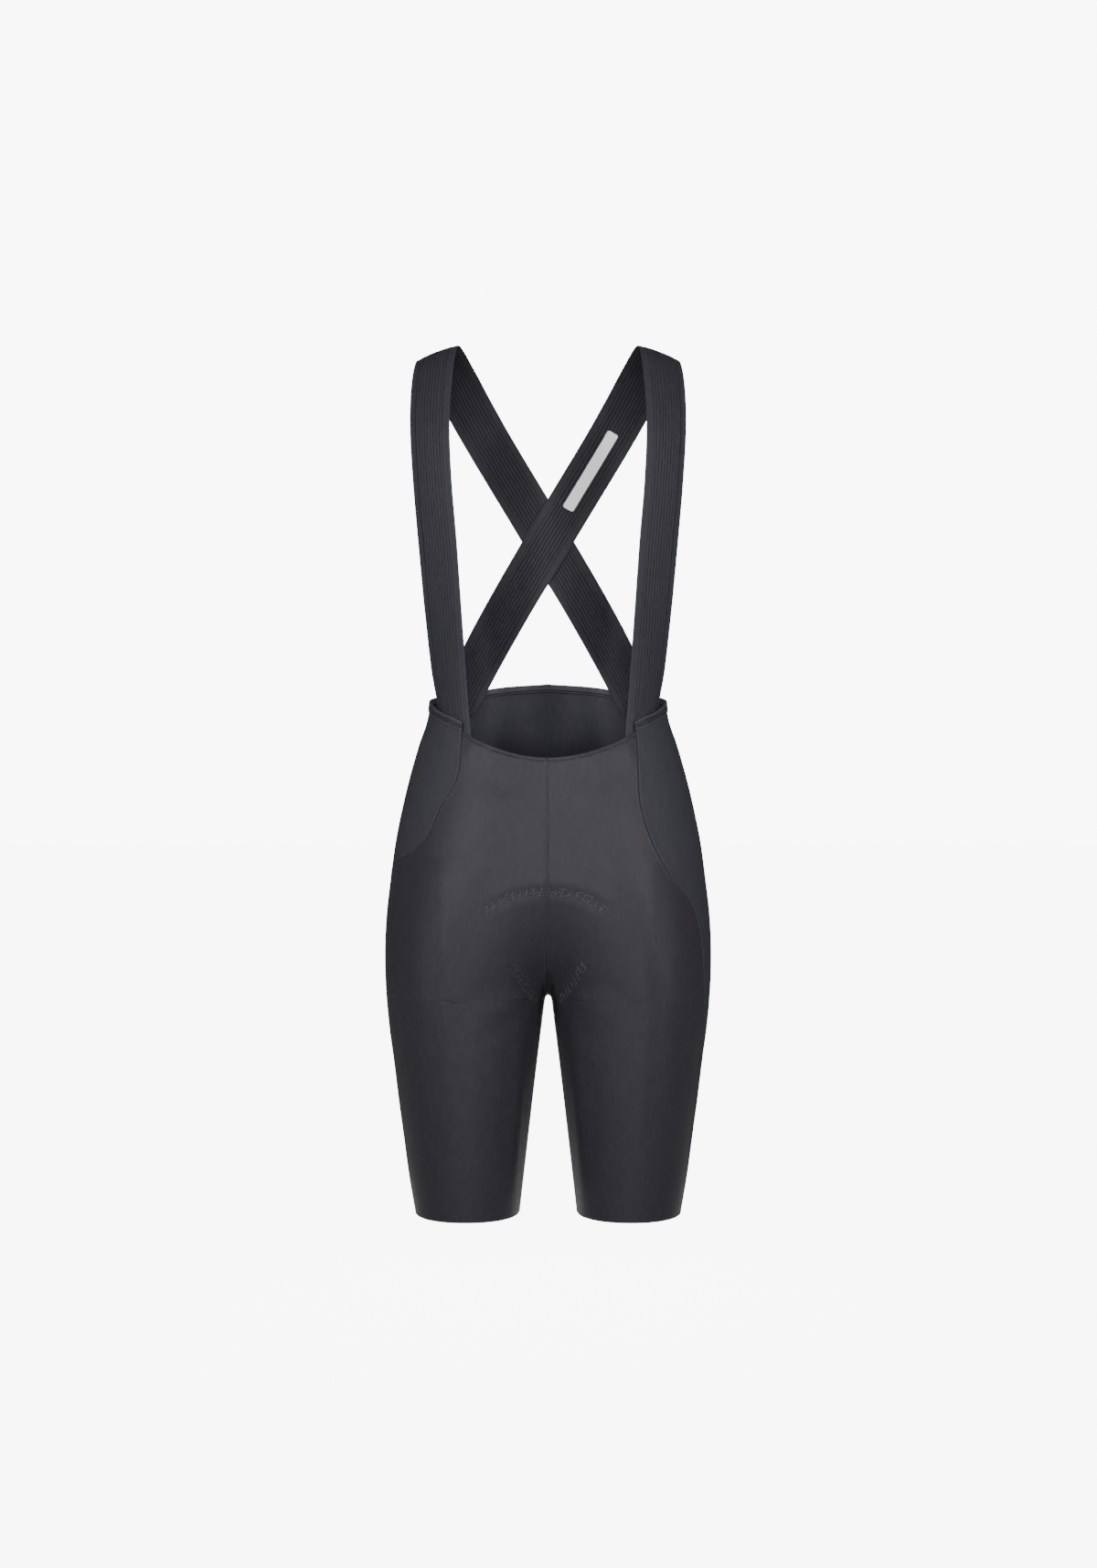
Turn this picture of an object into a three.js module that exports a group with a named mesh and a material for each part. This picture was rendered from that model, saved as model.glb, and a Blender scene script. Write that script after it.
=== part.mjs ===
// Cycling bib shorts, filled out as when worn: two front panels, two back panels, a folded
// waist binding, two ribbed elastic straps that cross at the back, and a blank strap label.
// Millimetres. +Z is up and the front faces -Y. Left and right are a viewer's in front.
// The origin lies midway between the tops of the two straps, where shoulders hold them.
import * as THREE from 'three';

// Driving dimensions
const crotchDrop = 638;
const hemDrop = 852;
const seatTurnDrop = 530;
const bellyTurnDrop = 520;
const frontEdgeDrop = 406;
const frontCornerDrop = 381;
const frontEdgeCurve = 1.8;
const clothThickness = 1.1;
const seamGap = 0.3;
const roundness = 2.1;
const archSpread = 4.4;
const archHalfWidth = 4.2;
const archRise = 4;
const legSpread = 0.115;
const archFlare = 3.4;
const flareReach = 40;
const seatBridge = 3;
const bellyFullness = 1.9;
const seatFullness = 2.4;
const fullTurn = 0.9995;
const leastAxisX = 0.5;

// Straps, binding and label
const strapHalfWidth = 23;
const strapThickness = 1.3;
const ribHeight = 0.45;
const ribCount = 9;
const plainBorder = 7.6;
const crossingDrop = 183;
const crossingClearance = 1.7;
const crossingSpan = 75;
const bindingCloth = 0.9;
const bindingFold = 0.12;
const bindingEdge = 0.06;
const bindingChamfer = 0.5;
const panelTuck = 1.5;
const backCut = 0.025;
const labelWidth = 12;
const labelThickness = 0.7;

// Mesh steps
const rowsAboveCrotch = 16;
const rowsBelowCrotch = 9;
const frontColumns = 12;
const backColumns = 16;
const edgeFadeRows = 7;
const rowSpread = 2.5;
const arcSamples = 16;
const edgeSamples = 200;
const strapSteps = 36;
const innerColumns = 4;
const curveTension = 0.5;

// Where the label starts and ends, in steps of its strap
const labelFrom = 23.4;
const labelTo = 26.7;

// Half sections of the garment: mm below the shoulders, half width, y of the front and the
// back, and the x and y of the axis that the half section goes round
const sections = [
  { drop: 320, half: 116.5, front: -83, back: 78, axisX: 0, axisY: -1 },
  { drop: 351, half: 116.2, front: -83.5, back: 78, axisX: 0, axisY: 0 },
  { drop: 369, half: 119, front: -86, back: 79.5, axisX: 0, axisY: 0.5 },
  { drop: 391, half: 126.5, front: -88.5, back: 82, axisX: 1, axisY: 1 },
  { drop: 412, half: 132.8, front: -91.5, back: 86.5, axisX: 4, axisY: 2 },
  { drop: 452, half: 143, front: -97, back: 98, axisX: 15, axisY: 4 },
  { drop: 488, half: 150.3, front: -99.5, back: 110, axisX: 30, axisY: 5.5 },
  { drop: 524, half: 155.2, front: -100.5, back: 120, axisX: 47, axisY: 7 },
  { drop: 560, half: 159.3, front: -99, back: 125, axisX: 62, axisY: 8 },
  { drop: 596, half: 160.8, front: -96, back: 122.5, axisX: 74, axisY: 8 },
  { drop: 632, half: 159.8, front: -92, back: 113, axisX: 81, axisY: 7 },
  { drop: 668, half: 156.6, front: -88.5, back: 101.5, axisX: 82, axisY: 6 },
  { drop: 704, half: 151.7, front: -85, back: 93, axisX: 82, axisY: 5 },
  { drop: 740, half: 147.2, front: -81, back: 86, axisX: 82, axisY: 4 },
  { drop: 776, half: 142.2, front: -76, back: 79.5, axisX: 81.7, axisY: 3 },
  { drop: 812, half: 137.3, front: -71, back: 73, axisX: 81, axisY: 2 },
  { drop: 852, half: 130.5, front: -65, back: 66, axisX: 79.5, axisY: 1 },
];

// Side seams: degrees round the section, with 90 at the front, 180 at the side, 270 at the back
const seamLeft = [
  { drop: 365, angle: 133 },
  { drop: 381, angle: 131.5 },
  { drop: 404, angle: 128.5 },
  { drop: 425, angle: 127.5 },
  { drop: 440, angle: 129.5 },
  { drop: 454, angle: 132.5 },
  { drop: 475, angle: 134.8 },
  { drop: 487, angle: 138 },
  { drop: 496, angle: 144 },
  { drop: 502, angle: 152 },
  { drop: 508, angle: 163 },
  { drop: 515, angle: 174 },
  { drop: 526, angle: 181 },
  { drop: 545, angle: 184 },
  { drop: 600, angle: 185 },
  { drop: 700, angle: 184.5 },
  { drop: 852, angle: 183 },
];
const seamRight = [
  { drop: 365, angle: 133 },
  { drop: 381, angle: 132.5 },
  { drop: 404, angle: 129.5 },
  { drop: 425, angle: 127 },
  { drop: 451, angle: 124.2 },
  { drop: 473, angle: 124 },
  { drop: 490, angle: 125 },
  { drop: 504, angle: 127 },
  { drop: 518, angle: 130.5 },
  { drop: 531, angle: 135.5 },
  { drop: 545, angle: 142 },
  { drop: 558, angle: 146 },
  { drop: 576, angle: 148.5 },
  { drop: 612, angle: 151 },
  { drop: 638, angle: 153.4 },
  { drop: 691, angle: 156.5 },
  { drop: 744, angle: 159.3 },
  { drop: 794, angle: 162 },
  { drop: 852, angle: 165 },
];

// Top of the waist binding and its height, by share of the way from side seam to centre back
const waistline = [
  { share: 0, drop: 370, height: 9.6 },
  { share: 0.12, drop: 361.5, height: 9.4 },
  { share: 0.24, drop: 353.3, height: 9 },
  { share: 0.33, drop: 348.6, height: 8.6 },
  { share: 0.47, drop: 344, height: 8.4 },
  { share: 0.62, drop: 339.5, height: 8.4 },
  { share: 0.8, drop: 333, height: 8.4 },
  { share: 1, drop: 329.6, height: 8.4 },
];

// Centre line of the left strap, from its front end over the shoulder to its back end, with
// the way its outer face looks, its share of the full width and its curvature across
const strapRun = [
  { x: -94, y: -59, z: -398, nx: -0.6, ny: -0.78, nz: 0.2, width: 1.04, curve: 0.0104 },
  { x: -94.4, y: -47.1, z: -364, nx: -0.76, ny: -0.65, nz: 0.1, width: 1.02, curve: 0.015 },
  { x: -98, y: -50.5, z: -320, nx: -0.67, ny: -0.74, nz: -0.08, width: 1.01, curve: 0.01 },
  { x: -102, y: -63, z: -260, nx: -0.6, ny: -0.79, nz: -0.12, width: 1, curve: 0.005 },
  { x: -106.5, y: -73, z: -200, nx: -0.57, ny: -0.82, nz: -0.08, width: 1, curve: 0.005 },
  { x: -111, y: -78, z: -145, nx: -0.57, ny: -0.82, nz: 0, width: 1, curve: 0.005 },
  { x: -113.8, y: -74.5, z: -92, nx: -0.54, ny: -0.79, nz: 0.3, width: 1, curve: 0.006 },
  { x: -113, y: -57, z: -48, nx: -0.46, ny: -0.66, nz: 0.6, width: 1, curve: 0.006 },
  { x: -110.5, y: -29, z: -17, nx: -0.38, ny: -0.36, nz: 0.86, width: 0.98, curve: 0.006 },
  { x: -107, y: 2, z: -7, nx: -0.32, ny: 0.06, nz: 0.95, width: 0.96, curve: 0.006 },
  { x: -96.5, y: 37, z: -22, nx: -0.26, ny: 0.52, nz: 0.8, width: 0.98, curve: 0.006 },
  { x: -78, y: 66, z: -55, nx: -0.26, ny: 0.84, nz: 0.48, width: 1, curve: 0.005 },
  { x: -56, y: 82, z: -92, nx: -0.22, ny: 0.95, nz: 0.25, width: 1, curve: 0.004 },
  { x: -25, y: 95.5, z: -142, nx: -0.12, ny: 0.98, nz: 0.12, width: 1, curve: 0.004 },
  { x: 0, y: 99, z: -183, nx: 0, ny: 1, nz: 0, width: 1, curve: 0.004 },
  { x: 34, y: 93, z: -240, nx: 0.22, ny: 0.97, nz: -0.1, width: 0.97, curve: 0.005 },
  { x: 63, y: 73, z: -293, nx: 0.46, ny: 0.88, nz: -0.12, width: 0.98, curve: 0.008 },
  { x: 83.5, y: 49.8, z: -334, nx: 0.61, ny: 0.79, nz: -0.04, width: 1, curve: 0.0135 },
  { x: 96.6, y: 39.6, z: -365, nx: 0.71, ny: 0.68, nz: 0.12, width: 1.02, curve: 0.0135 },
];

// Colours, roughness and metalness
const cloths = {
  front: new THREE.MeshStandardMaterial({ color: 0x48474d, roughness: 0.5, metalness: 0 }),
  back: new THREE.MeshStandardMaterial({ color: 0x2f3036, roughness: 0.8, metalness: 0 }),
  elastic: new THREE.MeshStandardMaterial({ color: 0x3d3d45, roughness: 0.85, metalness: 0 }),
  label: new THREE.MeshStandardMaterial({ color: 0xd3d3d3, roughness: 0.7, metalness: 0 }),
};

// Smooth value of a table's column at a place along its key column
function read(table, key, column, at) {
  const last = table.length - 1;
  let i = 0;
  while (i < last - 1 && at > table[i + 1][key]) {
    i += 1;
  }
  const step = (k) => table[k + 1][key] - table[k][key];
  const slope = (k) => (table[k + 1][column] - table[k][column]) / step(k);
  const bend = (k) => {
    if (k === 0) return slope(0);
    if (k === last) return slope(last - 1);
    return (slope(k - 1) * step(k) + slope(k) * step(k - 1)) / (step(k - 1) + step(k));
  };
  const span = step(i);
  const s = THREE.MathUtils.clamp((at - table[i][key]) / span, 0, 1);
  const a = table[i][column];
  const b = table[i + 1][column];
  const rise = s * s * (3 - 2 * s);
  const swing = s * (1 - s) * ((1 - s) * bend(i) - s * bend(i + 1)) * span;
  return a + (b - a) * rise + swing;
}

// How far the centre line has turned under the body: 1 on the belly or seat, 0 at the crotch
function turnUnder(drop, turnDrop, fullness) {
  const s = THREE.MathUtils.clamp((crotchDrop - drop) / (crotchDrop - turnDrop), 0, 1);
  return Math.min(1 - (1 - s) ** fullness, fullTurn);
}

// Squared rounding that joins the two legs: positive above the crotch, negative below it
function joinRound(drop, turnDrop, bridge) {
  const rise = crotchDrop - drop;
  if (rise <= 0) {
    return (archHalfWidth ** 2 * rise) / (archRise - rise);
  }
  const s = Math.min(rise / (crotchDrop - turnDrop), 1);
  return archSpread * rise * (1 - s) * (1 + bridge * s);
}

// One half section, with its front and back quarters and the angles where it starts and ends
function halfSection(drop) {
  const value = (column) => read(sections, 'drop', column, drop);
  const below = Math.max(drop - crotchDrop, 0);
  const axisX = Math.max(value('axisX'), leastAxisX);
  const axisY = value('axisY');
  const spread = legSpread * below + archFlare * (1 - Math.exp(-below / flareReach));
  const side = (edge, turnDrop, fullness, bridge) => {
    const turn = turnUnder(drop, turnDrop, fullness);
    const inner = (axisX - spread) / (1 - turn ** roundness) ** (1 / roundness);
    const round = joinRound(drop, turnDrop, bridge);
    const start = THREE.MathUtils.clamp((axisX - Math.sqrt(Math.max(round, 0))) / inner, 0, 1);
    const angle = Math.acos(start ** (roundness / 2));
    return { depth: edge - axisY, inner, round, angle };
  };
  return {
    drop,
    axisX,
    axisY,
    half: value('half'),
    front: side(value('front'), bellyTurnDrop, bellyFullness, 0),
    back: side(value('back'), seatTurnDrop, seatFullness, seatBridge),
  };
}

// A point of the outer surface on a half section at an angle, x being the distance from the centre
function sectionPoint(section, angle) {
  const quarter = angle <= Math.PI ? section.front : section.back;
  const across = Math.abs(Math.cos(angle)) ** (2 / roundness);
  const along = Math.abs(Math.sin(angle)) ** (2 / roundness);
  const outward = angle > Math.PI / 2 && angle < 1.5 * Math.PI;
  const reach = Math.sqrt(Math.max(section.half ** 2 + quarter.round, 0)) - section.axisX;
  const flat = section.axisX + (outward ? reach : -quarter.inner) * across;
  const x = Math.sqrt(Math.max(flat * flat - quarter.round, 0));
  return new THREE.Vector3(x, section.axisY + quarter.depth * along, -section.drop);
}

// Angle at a share of the arc length between the two limits of a panel, inside their insets
function angleAt(section, limits, share) {
  const { from, to, fromInset, toInset } = limits;
  const stops = [from, Math.PI / 2, Math.PI, 1.5 * Math.PI, to];
  const angles = [];
  for (let i = 0; i < stops.length - 1; i += 1) {
    const low = THREE.MathUtils.clamp(stops[i], from, to);
    const high = THREE.MathUtils.clamp(stops[i + 1], from, to);
    for (let k = 0; k < arcSamples; k += 1) {
      angles.push(low + ((high - low) * k) / arcSamples);
    }
  }
  angles.push(to);
  const lengths = [0];
  let before = sectionPoint(section, angles[0]);
  for (let i = 1; i < angles.length; i += 1) {
    const here = sectionPoint(section, angles[i]);
    lengths.push(lengths[i - 1] + here.distanceTo(before));
    before = here;
  }
  const total = lengths[lengths.length - 1];
  const wanted = THREE.MathUtils.clamp(share * total, fromInset, total - toInset);
  let i = 1;
  while (i < lengths.length - 1 && lengths[i] < wanted) {
    i += 1;
  }
  const part = (wanted - lengths[i - 1]) / (lengths[i] - lengths[i - 1]);
  return angles[i - 1] + (angles[i] - angles[i - 1]) * part;
}

// Outward direction of the surface at a drop and an angle
function outwardAt(drop, angle) {
  const turn = 0.002;
  const rise = 0.2;
  const section = halfSection(drop);
  const round = sectionPoint(section, angle + turn).sub(sectionPoint(section, angle - turn));
  const upper = sectionPoint(halfSection(drop - rise), angle);
  const up = upper.sub(sectionPoint(halfSection(drop + rise), angle));
  return round.cross(up).normalize();
}

// Levels of the rows along one edge line, evenly spaced by its length above and below the crotch
function edgeLevels(lineAt, topDrop) {
  const stretch = (from, to, rows) => {
    const drops = [];
    const lengths = [0];
    for (let i = 0; i <= edgeSamples; i += 1) {
      drops.push(from + ((to - from) * i) / edgeSamples);
      if (i > 0) {
        lengths.push(lengths[i - 1] + lineAt(drops[i]).distanceTo(lineAt(drops[i - 1])));
      }
    }
    const levels = [];
    let k = 0;
    for (let row = 0; row < rows; row += 1) {
      const wanted = (lengths[edgeSamples] * row) / rows;
      while (lengths[k + 1] < wanted) {
        k += 1;
      }
      const part = (wanted - lengths[k]) / (lengths[k + 1] - lengths[k]);
      levels.push(drops[k] + (drops[k + 1] - drops[k]) * part);
    }
    return levels;
  };
  const above = stretch(topDrop, crotchDrop, rowsAboveCrotch);
  return [...above, ...stretch(crotchDrop, hemDrop, rowsBelowCrotch), hemDrop];
}

// Closed wall between an outer and an inner grid of points
function wallGeometry(outer, inner) {
  const rows = outer.length;
  const columns = outer[0].length;
  const positions = [];
  const faces = [];
  [outer, inner].flat(2).forEach((p) => positions.push(p.x, p.y, p.z));
  const at = (layer, row, column) => (layer * rows + row) * columns + column;
  const quad = (a, b, c, d) => faces.push(a, b, c, a, c, d);
  for (let r = 0; r < rows - 1; r += 1) {
    for (let c = 0; c < columns - 1; c += 1) {
      const falling = outer[r][c].distanceTo(outer[r + 1][c + 1]);
      const rising = outer[r + 1][c].distanceTo(outer[r][c + 1]);
      const turn = falling < rising ? 0 : 1;
      const corners = (layer) => {
        const loop = [at(layer, r, c), at(layer, r + 1, c), at(layer, r + 1, c + 1), at(layer, r, c + 1)];
        return [...loop.slice(turn), ...loop.slice(0, turn)];
      };
      quad(...corners(0));
      const [a, b, d, e] = corners(1);
      quad(a, e, d, b);
    }
    quad(at(0, r + 1, 0), at(0, r, 0), at(1, r, 0), at(1, r + 1, 0));
    quad(at(0, r, columns - 1), at(0, r + 1, columns - 1), at(1, r + 1, columns - 1), at(1, r, columns - 1));
  }
  for (let c = 0; c < columns - 1; c += 1) {
    quad(at(0, 0, c), at(0, 0, c + 1), at(1, 0, c + 1), at(1, 0, c));
    quad(at(0, rows - 1, c + 1), at(0, rows - 1, c), at(1, rows - 1, c), at(1, rows - 1, c + 1));
  }
  return closedGeometry(positions, faces);
}

// Closed body through rings of equal count, capped at both ends by the flat profile's triangles
function loftGeometry(rings, profile) {
  const count = profile.length;
  const positions = rings.flat().flatMap((p) => [p.x, p.y, p.z]);
  const faces = [];
  for (let r = 0; r < rings.length - 1; r += 1) {
    for (let c = 0; c < count; c += 1) {
      const next = (c + 1) % count;
      const here = r * count;
      const above = here + count;
      faces.push(here + c, here + next, above + next, here + c, above + next, above + c);
    }
  }
  const top = (rings.length - 1) * count;
  const turned = THREE.ShapeUtils.isClockWise(profile);
  THREE.ShapeUtils.triangulateShape(profile, []).forEach(([a, b, c]) => {
    const [first, last] = turned ? [c, a] : [a, c];
    faces.push(last, b, first, top + first, top + b, top + last);
  });
  return closedGeometry(positions, faces);
}

// Buffer geometry whose faces are turned to point out of the body
function closedGeometry(positions, faces) {
  const corner = (i) => new THREE.Vector3().fromArray(positions, 3 * i);
  let volume = 0;
  for (let i = 0; i < faces.length; i += 3) {
    volume += corner(faces[i]).dot(corner(faces[i + 1]).cross(corner(faces[i + 2])));
  }
  const index = volume < 0 ? faces.slice().reverse() : faces;
  const geometry = new THREE.BufferGeometry();
  geometry.setAttribute('position', new THREE.Float32BufferAttribute(positions, 3));
  geometry.setIndex(index);
  geometry.computeVertexNormals();
  return geometry;
}

function mirrored(point, side) {
  return new THREE.Vector3(side * point.x, point.y, point.z);
}

// The waist binding's drop or height at a share of the way from side seam to centre back
function waistAt(column, share) {
  return read(waistline, 'share', column, share);
}

// Inset of a panel's edge along a section, so that a slanting seam keeps its gap
function seamInset(drop, seam) {
  const above = halfSection(drop - 1);
  const below = halfSection(drop + 1);
  const angle = (level) => THREE.MathUtils.degToRad(read(seam, 'drop', 'angle', level));
  const slanting = sectionPoint(above, angle(drop - 1)).distanceTo(sectionPoint(below, angle(drop + 1)));
  const upright = sectionPoint(above, angle(drop)).distanceTo(sectionPoint(below, angle(drop)));
  return ((seamGap / 2) * slanting) / upright;
}

// Angles between which a front or a back panel runs on a section, and its insets there
function panelLimits(section, seam, isFront) {
  const seamAngle = THREE.MathUtils.degToRad(read(seam, 'drop', 'angle', section.drop));
  const inset = seamInset(section.drop, seam);
  if (isFront) {
    return { from: section.front.angle, to: seamAngle, fromInset: seamGap / 2, toInset: inset };
  }
  const end = 2 * Math.PI - section.back.angle;
  return { from: seamAngle, to: end, fromInset: inset, toInset: seamGap / 2 };
}

// One panel of cloth: rows follow its two edge lines, columns lie evenly along the sections
function panelGeometry(side, seam, isFront) {
  const columns = isFront ? frontColumns : backColumns;
  const centreTop = isFront ? frontEdgeDrop : waistAt('drop', 1) + panelTuck;
  const seamTop = frontCornerDrop;
  const topDrop = (share) => {
    if (isFront) {
      return frontEdgeDrop - (frontEdgeDrop - frontCornerDrop) * share ** frontEdgeCurve;
    }
    return waistAt('drop', share) + panelTuck;
  };
  const lineAt = (atCentre) => (drop) => {
    const section = halfSection(drop);
    const { from, to } = panelLimits(section, seam, isFront);
    return sectionPoint(section, atCentre === isFront ? from : to);
  };
  const centreLevels = edgeLevels(lineAt(true), centreTop);
  const seamLevels = edgeLevels(lineAt(false), seamTop);
  const extraRows = isFront ? 0 : 1;
  const dropAt = (row, share, seamShare) => {
    if (row === 0) {
      return topDrop(share);
    }
    const k = row - extraRows;
    if (k === 0) {
      return waistAt('drop', share) + waistAt('height', share);
    }
    const fadeRows = 1 + (edgeFadeRows - 1) * (1 - seamShare);
    const fade = Math.max(1 - k / fadeRows, 0) ** 2;
    const straightTop = centreTop + (seamTop - centreTop) * seamShare;
    const spread = 1 - (1 - seamShare) ** rowSpread;
    const level = centreLevels[k] + (seamLevels[k] - centreLevels[k]) * spread;
    return level + (topDrop(share) - straightTop) * fade;
  };
  const crotchRow = rowsAboveCrotch + extraRows;
  const outer = [];
  const inner = [];
  for (let row = 0; row < centreLevels.length + extraRows; row += 1) {
    const outerRow = [];
    const innerRow = [];
    for (let column = 0; column <= columns; column += 1) {
      const share = column / columns;
      const seamShare = isFront ? share : 1 - share;
      const drop = dropAt(row, share, seamShare);
      const section = halfSection(drop);
      const angle = angleAt(section, panelLimits(section, seam, isFront), share);
      const point = sectionPoint(section, angle);
      const outward = outwardAt(drop, angle);
      if (seamShare === 0) {
        const nearCentre = row <= crotchRow;
        const nearInseam = row >= crotchRow;
        point.x = nearCentre ? seamGap / 2 : Math.max(point.x, seamGap / 2);
        outward.x = nearCentre ? 0 : outward.x;
        outward.y = nearInseam ? 0 : outward.y;
        if (nearCentre && nearInseam) {
          outward.set(0, 0, -1);
          point.y = section.axisY + (isFront ? -seamGap / 2 : seamGap / 2);
        }
        outward.normalize();
      }
      outerRow.push(mirrored(point, side));
      innerRow.push(mirrored(point.clone().addScaledVector(outward, -clothThickness), side));
    }
    outer.push(outerRow);
    inner.push(innerRow);
  }
  return wallGeometry(outer, inner);
}

// The folded binding: a channel over the back panels' top edge, from one strap base to the other
function bindingGeometry() {
  const outside = bindingCloth + seamGap;
  const inside = -clothThickness - seamGap - bindingCloth;
  const profile = [
    { out: outside, down: 1 },
    { out: outside, down: bindingEdge },
    { out: outside - bindingChamfer, down: 0 },
    { out: inside + bindingChamfer, down: 0 },
    { out: inside, down: bindingEdge },
    { out: inside, down: 1 },
    { out: inside + bindingCloth, down: 1 },
    { out: inside + bindingCloth, down: bindingFold },
    { out: outside - bindingCloth, down: bindingFold },
    { out: outside - bindingCloth, down: 1 },
  ];
  const ring = (side, seam, share) => {
    const top = waistAt('drop', share);
    const height = waistAt('height', share);
    return profile.map(({ out, down }) => {
      const drop = top + down * height;
      const section = halfSection(drop);
      const angle = angleAt(section, panelLimits(section, seam, false), share);
      const point = sectionPoint(section, angle);
      return mirrored(point.addScaledVector(outwardAt(drop, angle), out), side);
    });
  };
  const rings = [];
  for (let i = 0; i < backColumns; i += 1) {
    rings.push(ring(-1, seamLeft, i / backColumns));
  }
  for (let i = backColumns; i >= 0; i -= 1) {
    rings.push(ring(1, seamRight, i / backColumns));
  }
  return loftGeometry(rings, profile.map(({ out, down }) => new THREE.Vector2(out, down)));
}

// A point of the left strap: share is its place along the strap, across runs from -1 to 1,
// out is the distance from the middle of its thickness, and layer is its side at the crossing
function strapPoint(share, across, out, layer) {
  const curve = (keys) => new THREE.CatmullRomCurve3(
    strapRun.map((row) => new THREE.Vector3(...keys.map((key) => row[key]))),
    false,
    'catmullrom',
    curveTension,
  );
  const place = share * (1 - (backCut * (1 - across)) / 2);
  const path = curve(['x', 'y', 'z']);
  const centre = path.getPoint(place);
  const along = path.getTangent(place);
  const outward = curve(['nx', 'ny', 'nz']).getPoint(place);
  outward.addScaledVector(along, -outward.dot(along)).normalize();
  const sideways = new THREE.Vector3().crossVectors(along, outward);
  const form = curve(['width', 'curve', 'curve']).getPoint(place);
  const offset = across * form.x * strapHalfWidth;
  const apart = centre.y > 0 ? Math.exp(-(((centre.z + crossingDrop) / crossingSpan) ** 2)) : 0;
  const lift = out + layer * crossingClearance * apart - (form.y * offset ** 2) / 2;
  return centre.addScaledVector(sideways, offset).addScaledVector(outward, lift);
}

// Profile across a strap: ribs on its outer face and a plain inner face
function strapProfile() {
  const inside = -strapThickness / 2;
  const outside = strapThickness / 2;
  const border = plainBorder / strapHalfWidth;
  const pitch = (2 - 2 * border) / (2 * ribCount);
  const profile = [{ across: -1, out: outside }];
  for (let i = 0; i <= 2 * ribCount; i += 1) {
    profile.push({ across: -1 + border + i * pitch, out: outside + (i % 2) * ribHeight });
  }
  profile.push({ across: 1, out: outside });
  for (let i = 0; i <= innerColumns; i += 1) {
    profile.push({ across: 1 - (2 * i) / innerColumns, out: inside });
  }
  return profile;
}

function strapGeometry(side) {
  const profile = strapProfile();
  const rings = [];
  for (let i = 0; i <= strapSteps; i += 1) {
    rings.push(profile.map(({ across, out }) => (
      mirrored(strapPoint(i / strapSteps, across, out, -side), -side)
    )));
  }
  const flat = profile.map(({ across, out }) => new THREE.Vector2(across * strapHalfWidth, out));
  return loftGeometry(rings, flat);
}

// The blank label, a gap away from the inner face of the right strap and bent with its facets
function labelGeometry() {
  const half = labelWidth / 2 / strapHalfWidth;
  const near = -strapThickness / 2 - seamGap;
  const far = near - labelThickness;
  const profile = [[-half, near], [-half, far], [half, far], [half, near]];
  const steps = [labelFrom];
  for (let step = Math.ceil(labelFrom); step < labelTo; step += 1) {
    steps.push(step);
  }
  steps.push(labelTo);
  const rings = steps.map((step) => profile.map(([across, out]) => {
    const before = strapPoint(Math.floor(step) / strapSteps, across, out, -1);
    const after = strapPoint(Math.ceil(step) / strapSteps, across, out, -1);
    return mirrored(before.lerp(after, step % 1), -1);
  }));
  const flat = profile.map(([across, out]) => new THREE.Vector2(across * strapHalfWidth, out));
  return loftGeometry(rings, flat);
}

const garment = new THREE.Group();
garment.name = 'cycling_bib_shorts';

function addPiece(name, geometry, material) {
  const mesh = new THREE.Mesh(geometry, material);
  mesh.name = name;
  garment.add(mesh);
}

addPiece('front_panel_left', panelGeometry(-1, seamLeft, true), cloths.front);
addPiece('front_panel_right', panelGeometry(1, seamRight, true), cloths.front);
addPiece('back_panel_left', panelGeometry(-1, seamLeft, false), cloths.back);
addPiece('back_panel_right', panelGeometry(1, seamRight, false), cloths.back);
addPiece('waist_binding', bindingGeometry(), cloths.elastic);
addPiece('strap_left', strapGeometry(-1), cloths.elastic);
addPiece('strap_right', strapGeometry(1), cloths.elastic);
addPiece('strap_label', labelGeometry(), cloths.label);

export default garment;
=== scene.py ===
"""Looks of the cycling bib shorts: thin cloth shells on the solids' form, with seams, stitches and knit."""
import math

import bmesh
import bpy
import numpy as np
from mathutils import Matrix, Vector


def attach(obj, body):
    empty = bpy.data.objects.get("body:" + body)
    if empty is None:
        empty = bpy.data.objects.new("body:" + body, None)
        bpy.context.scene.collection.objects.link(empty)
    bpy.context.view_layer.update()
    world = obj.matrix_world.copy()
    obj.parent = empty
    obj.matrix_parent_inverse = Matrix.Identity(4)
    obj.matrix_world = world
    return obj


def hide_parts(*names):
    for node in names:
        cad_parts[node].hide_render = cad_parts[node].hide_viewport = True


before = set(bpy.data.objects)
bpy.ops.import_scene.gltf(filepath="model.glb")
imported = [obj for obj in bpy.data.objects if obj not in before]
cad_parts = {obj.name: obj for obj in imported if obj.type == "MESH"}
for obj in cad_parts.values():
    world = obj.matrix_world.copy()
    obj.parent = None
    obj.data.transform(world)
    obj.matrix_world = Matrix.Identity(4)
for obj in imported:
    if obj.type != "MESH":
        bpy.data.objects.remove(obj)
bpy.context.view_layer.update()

MM = 0.001


def table(names, *rows):
    """A short table with named columns, as arrays."""
    return dict(zip(names.split(), np.array(rows, float).T))


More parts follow.
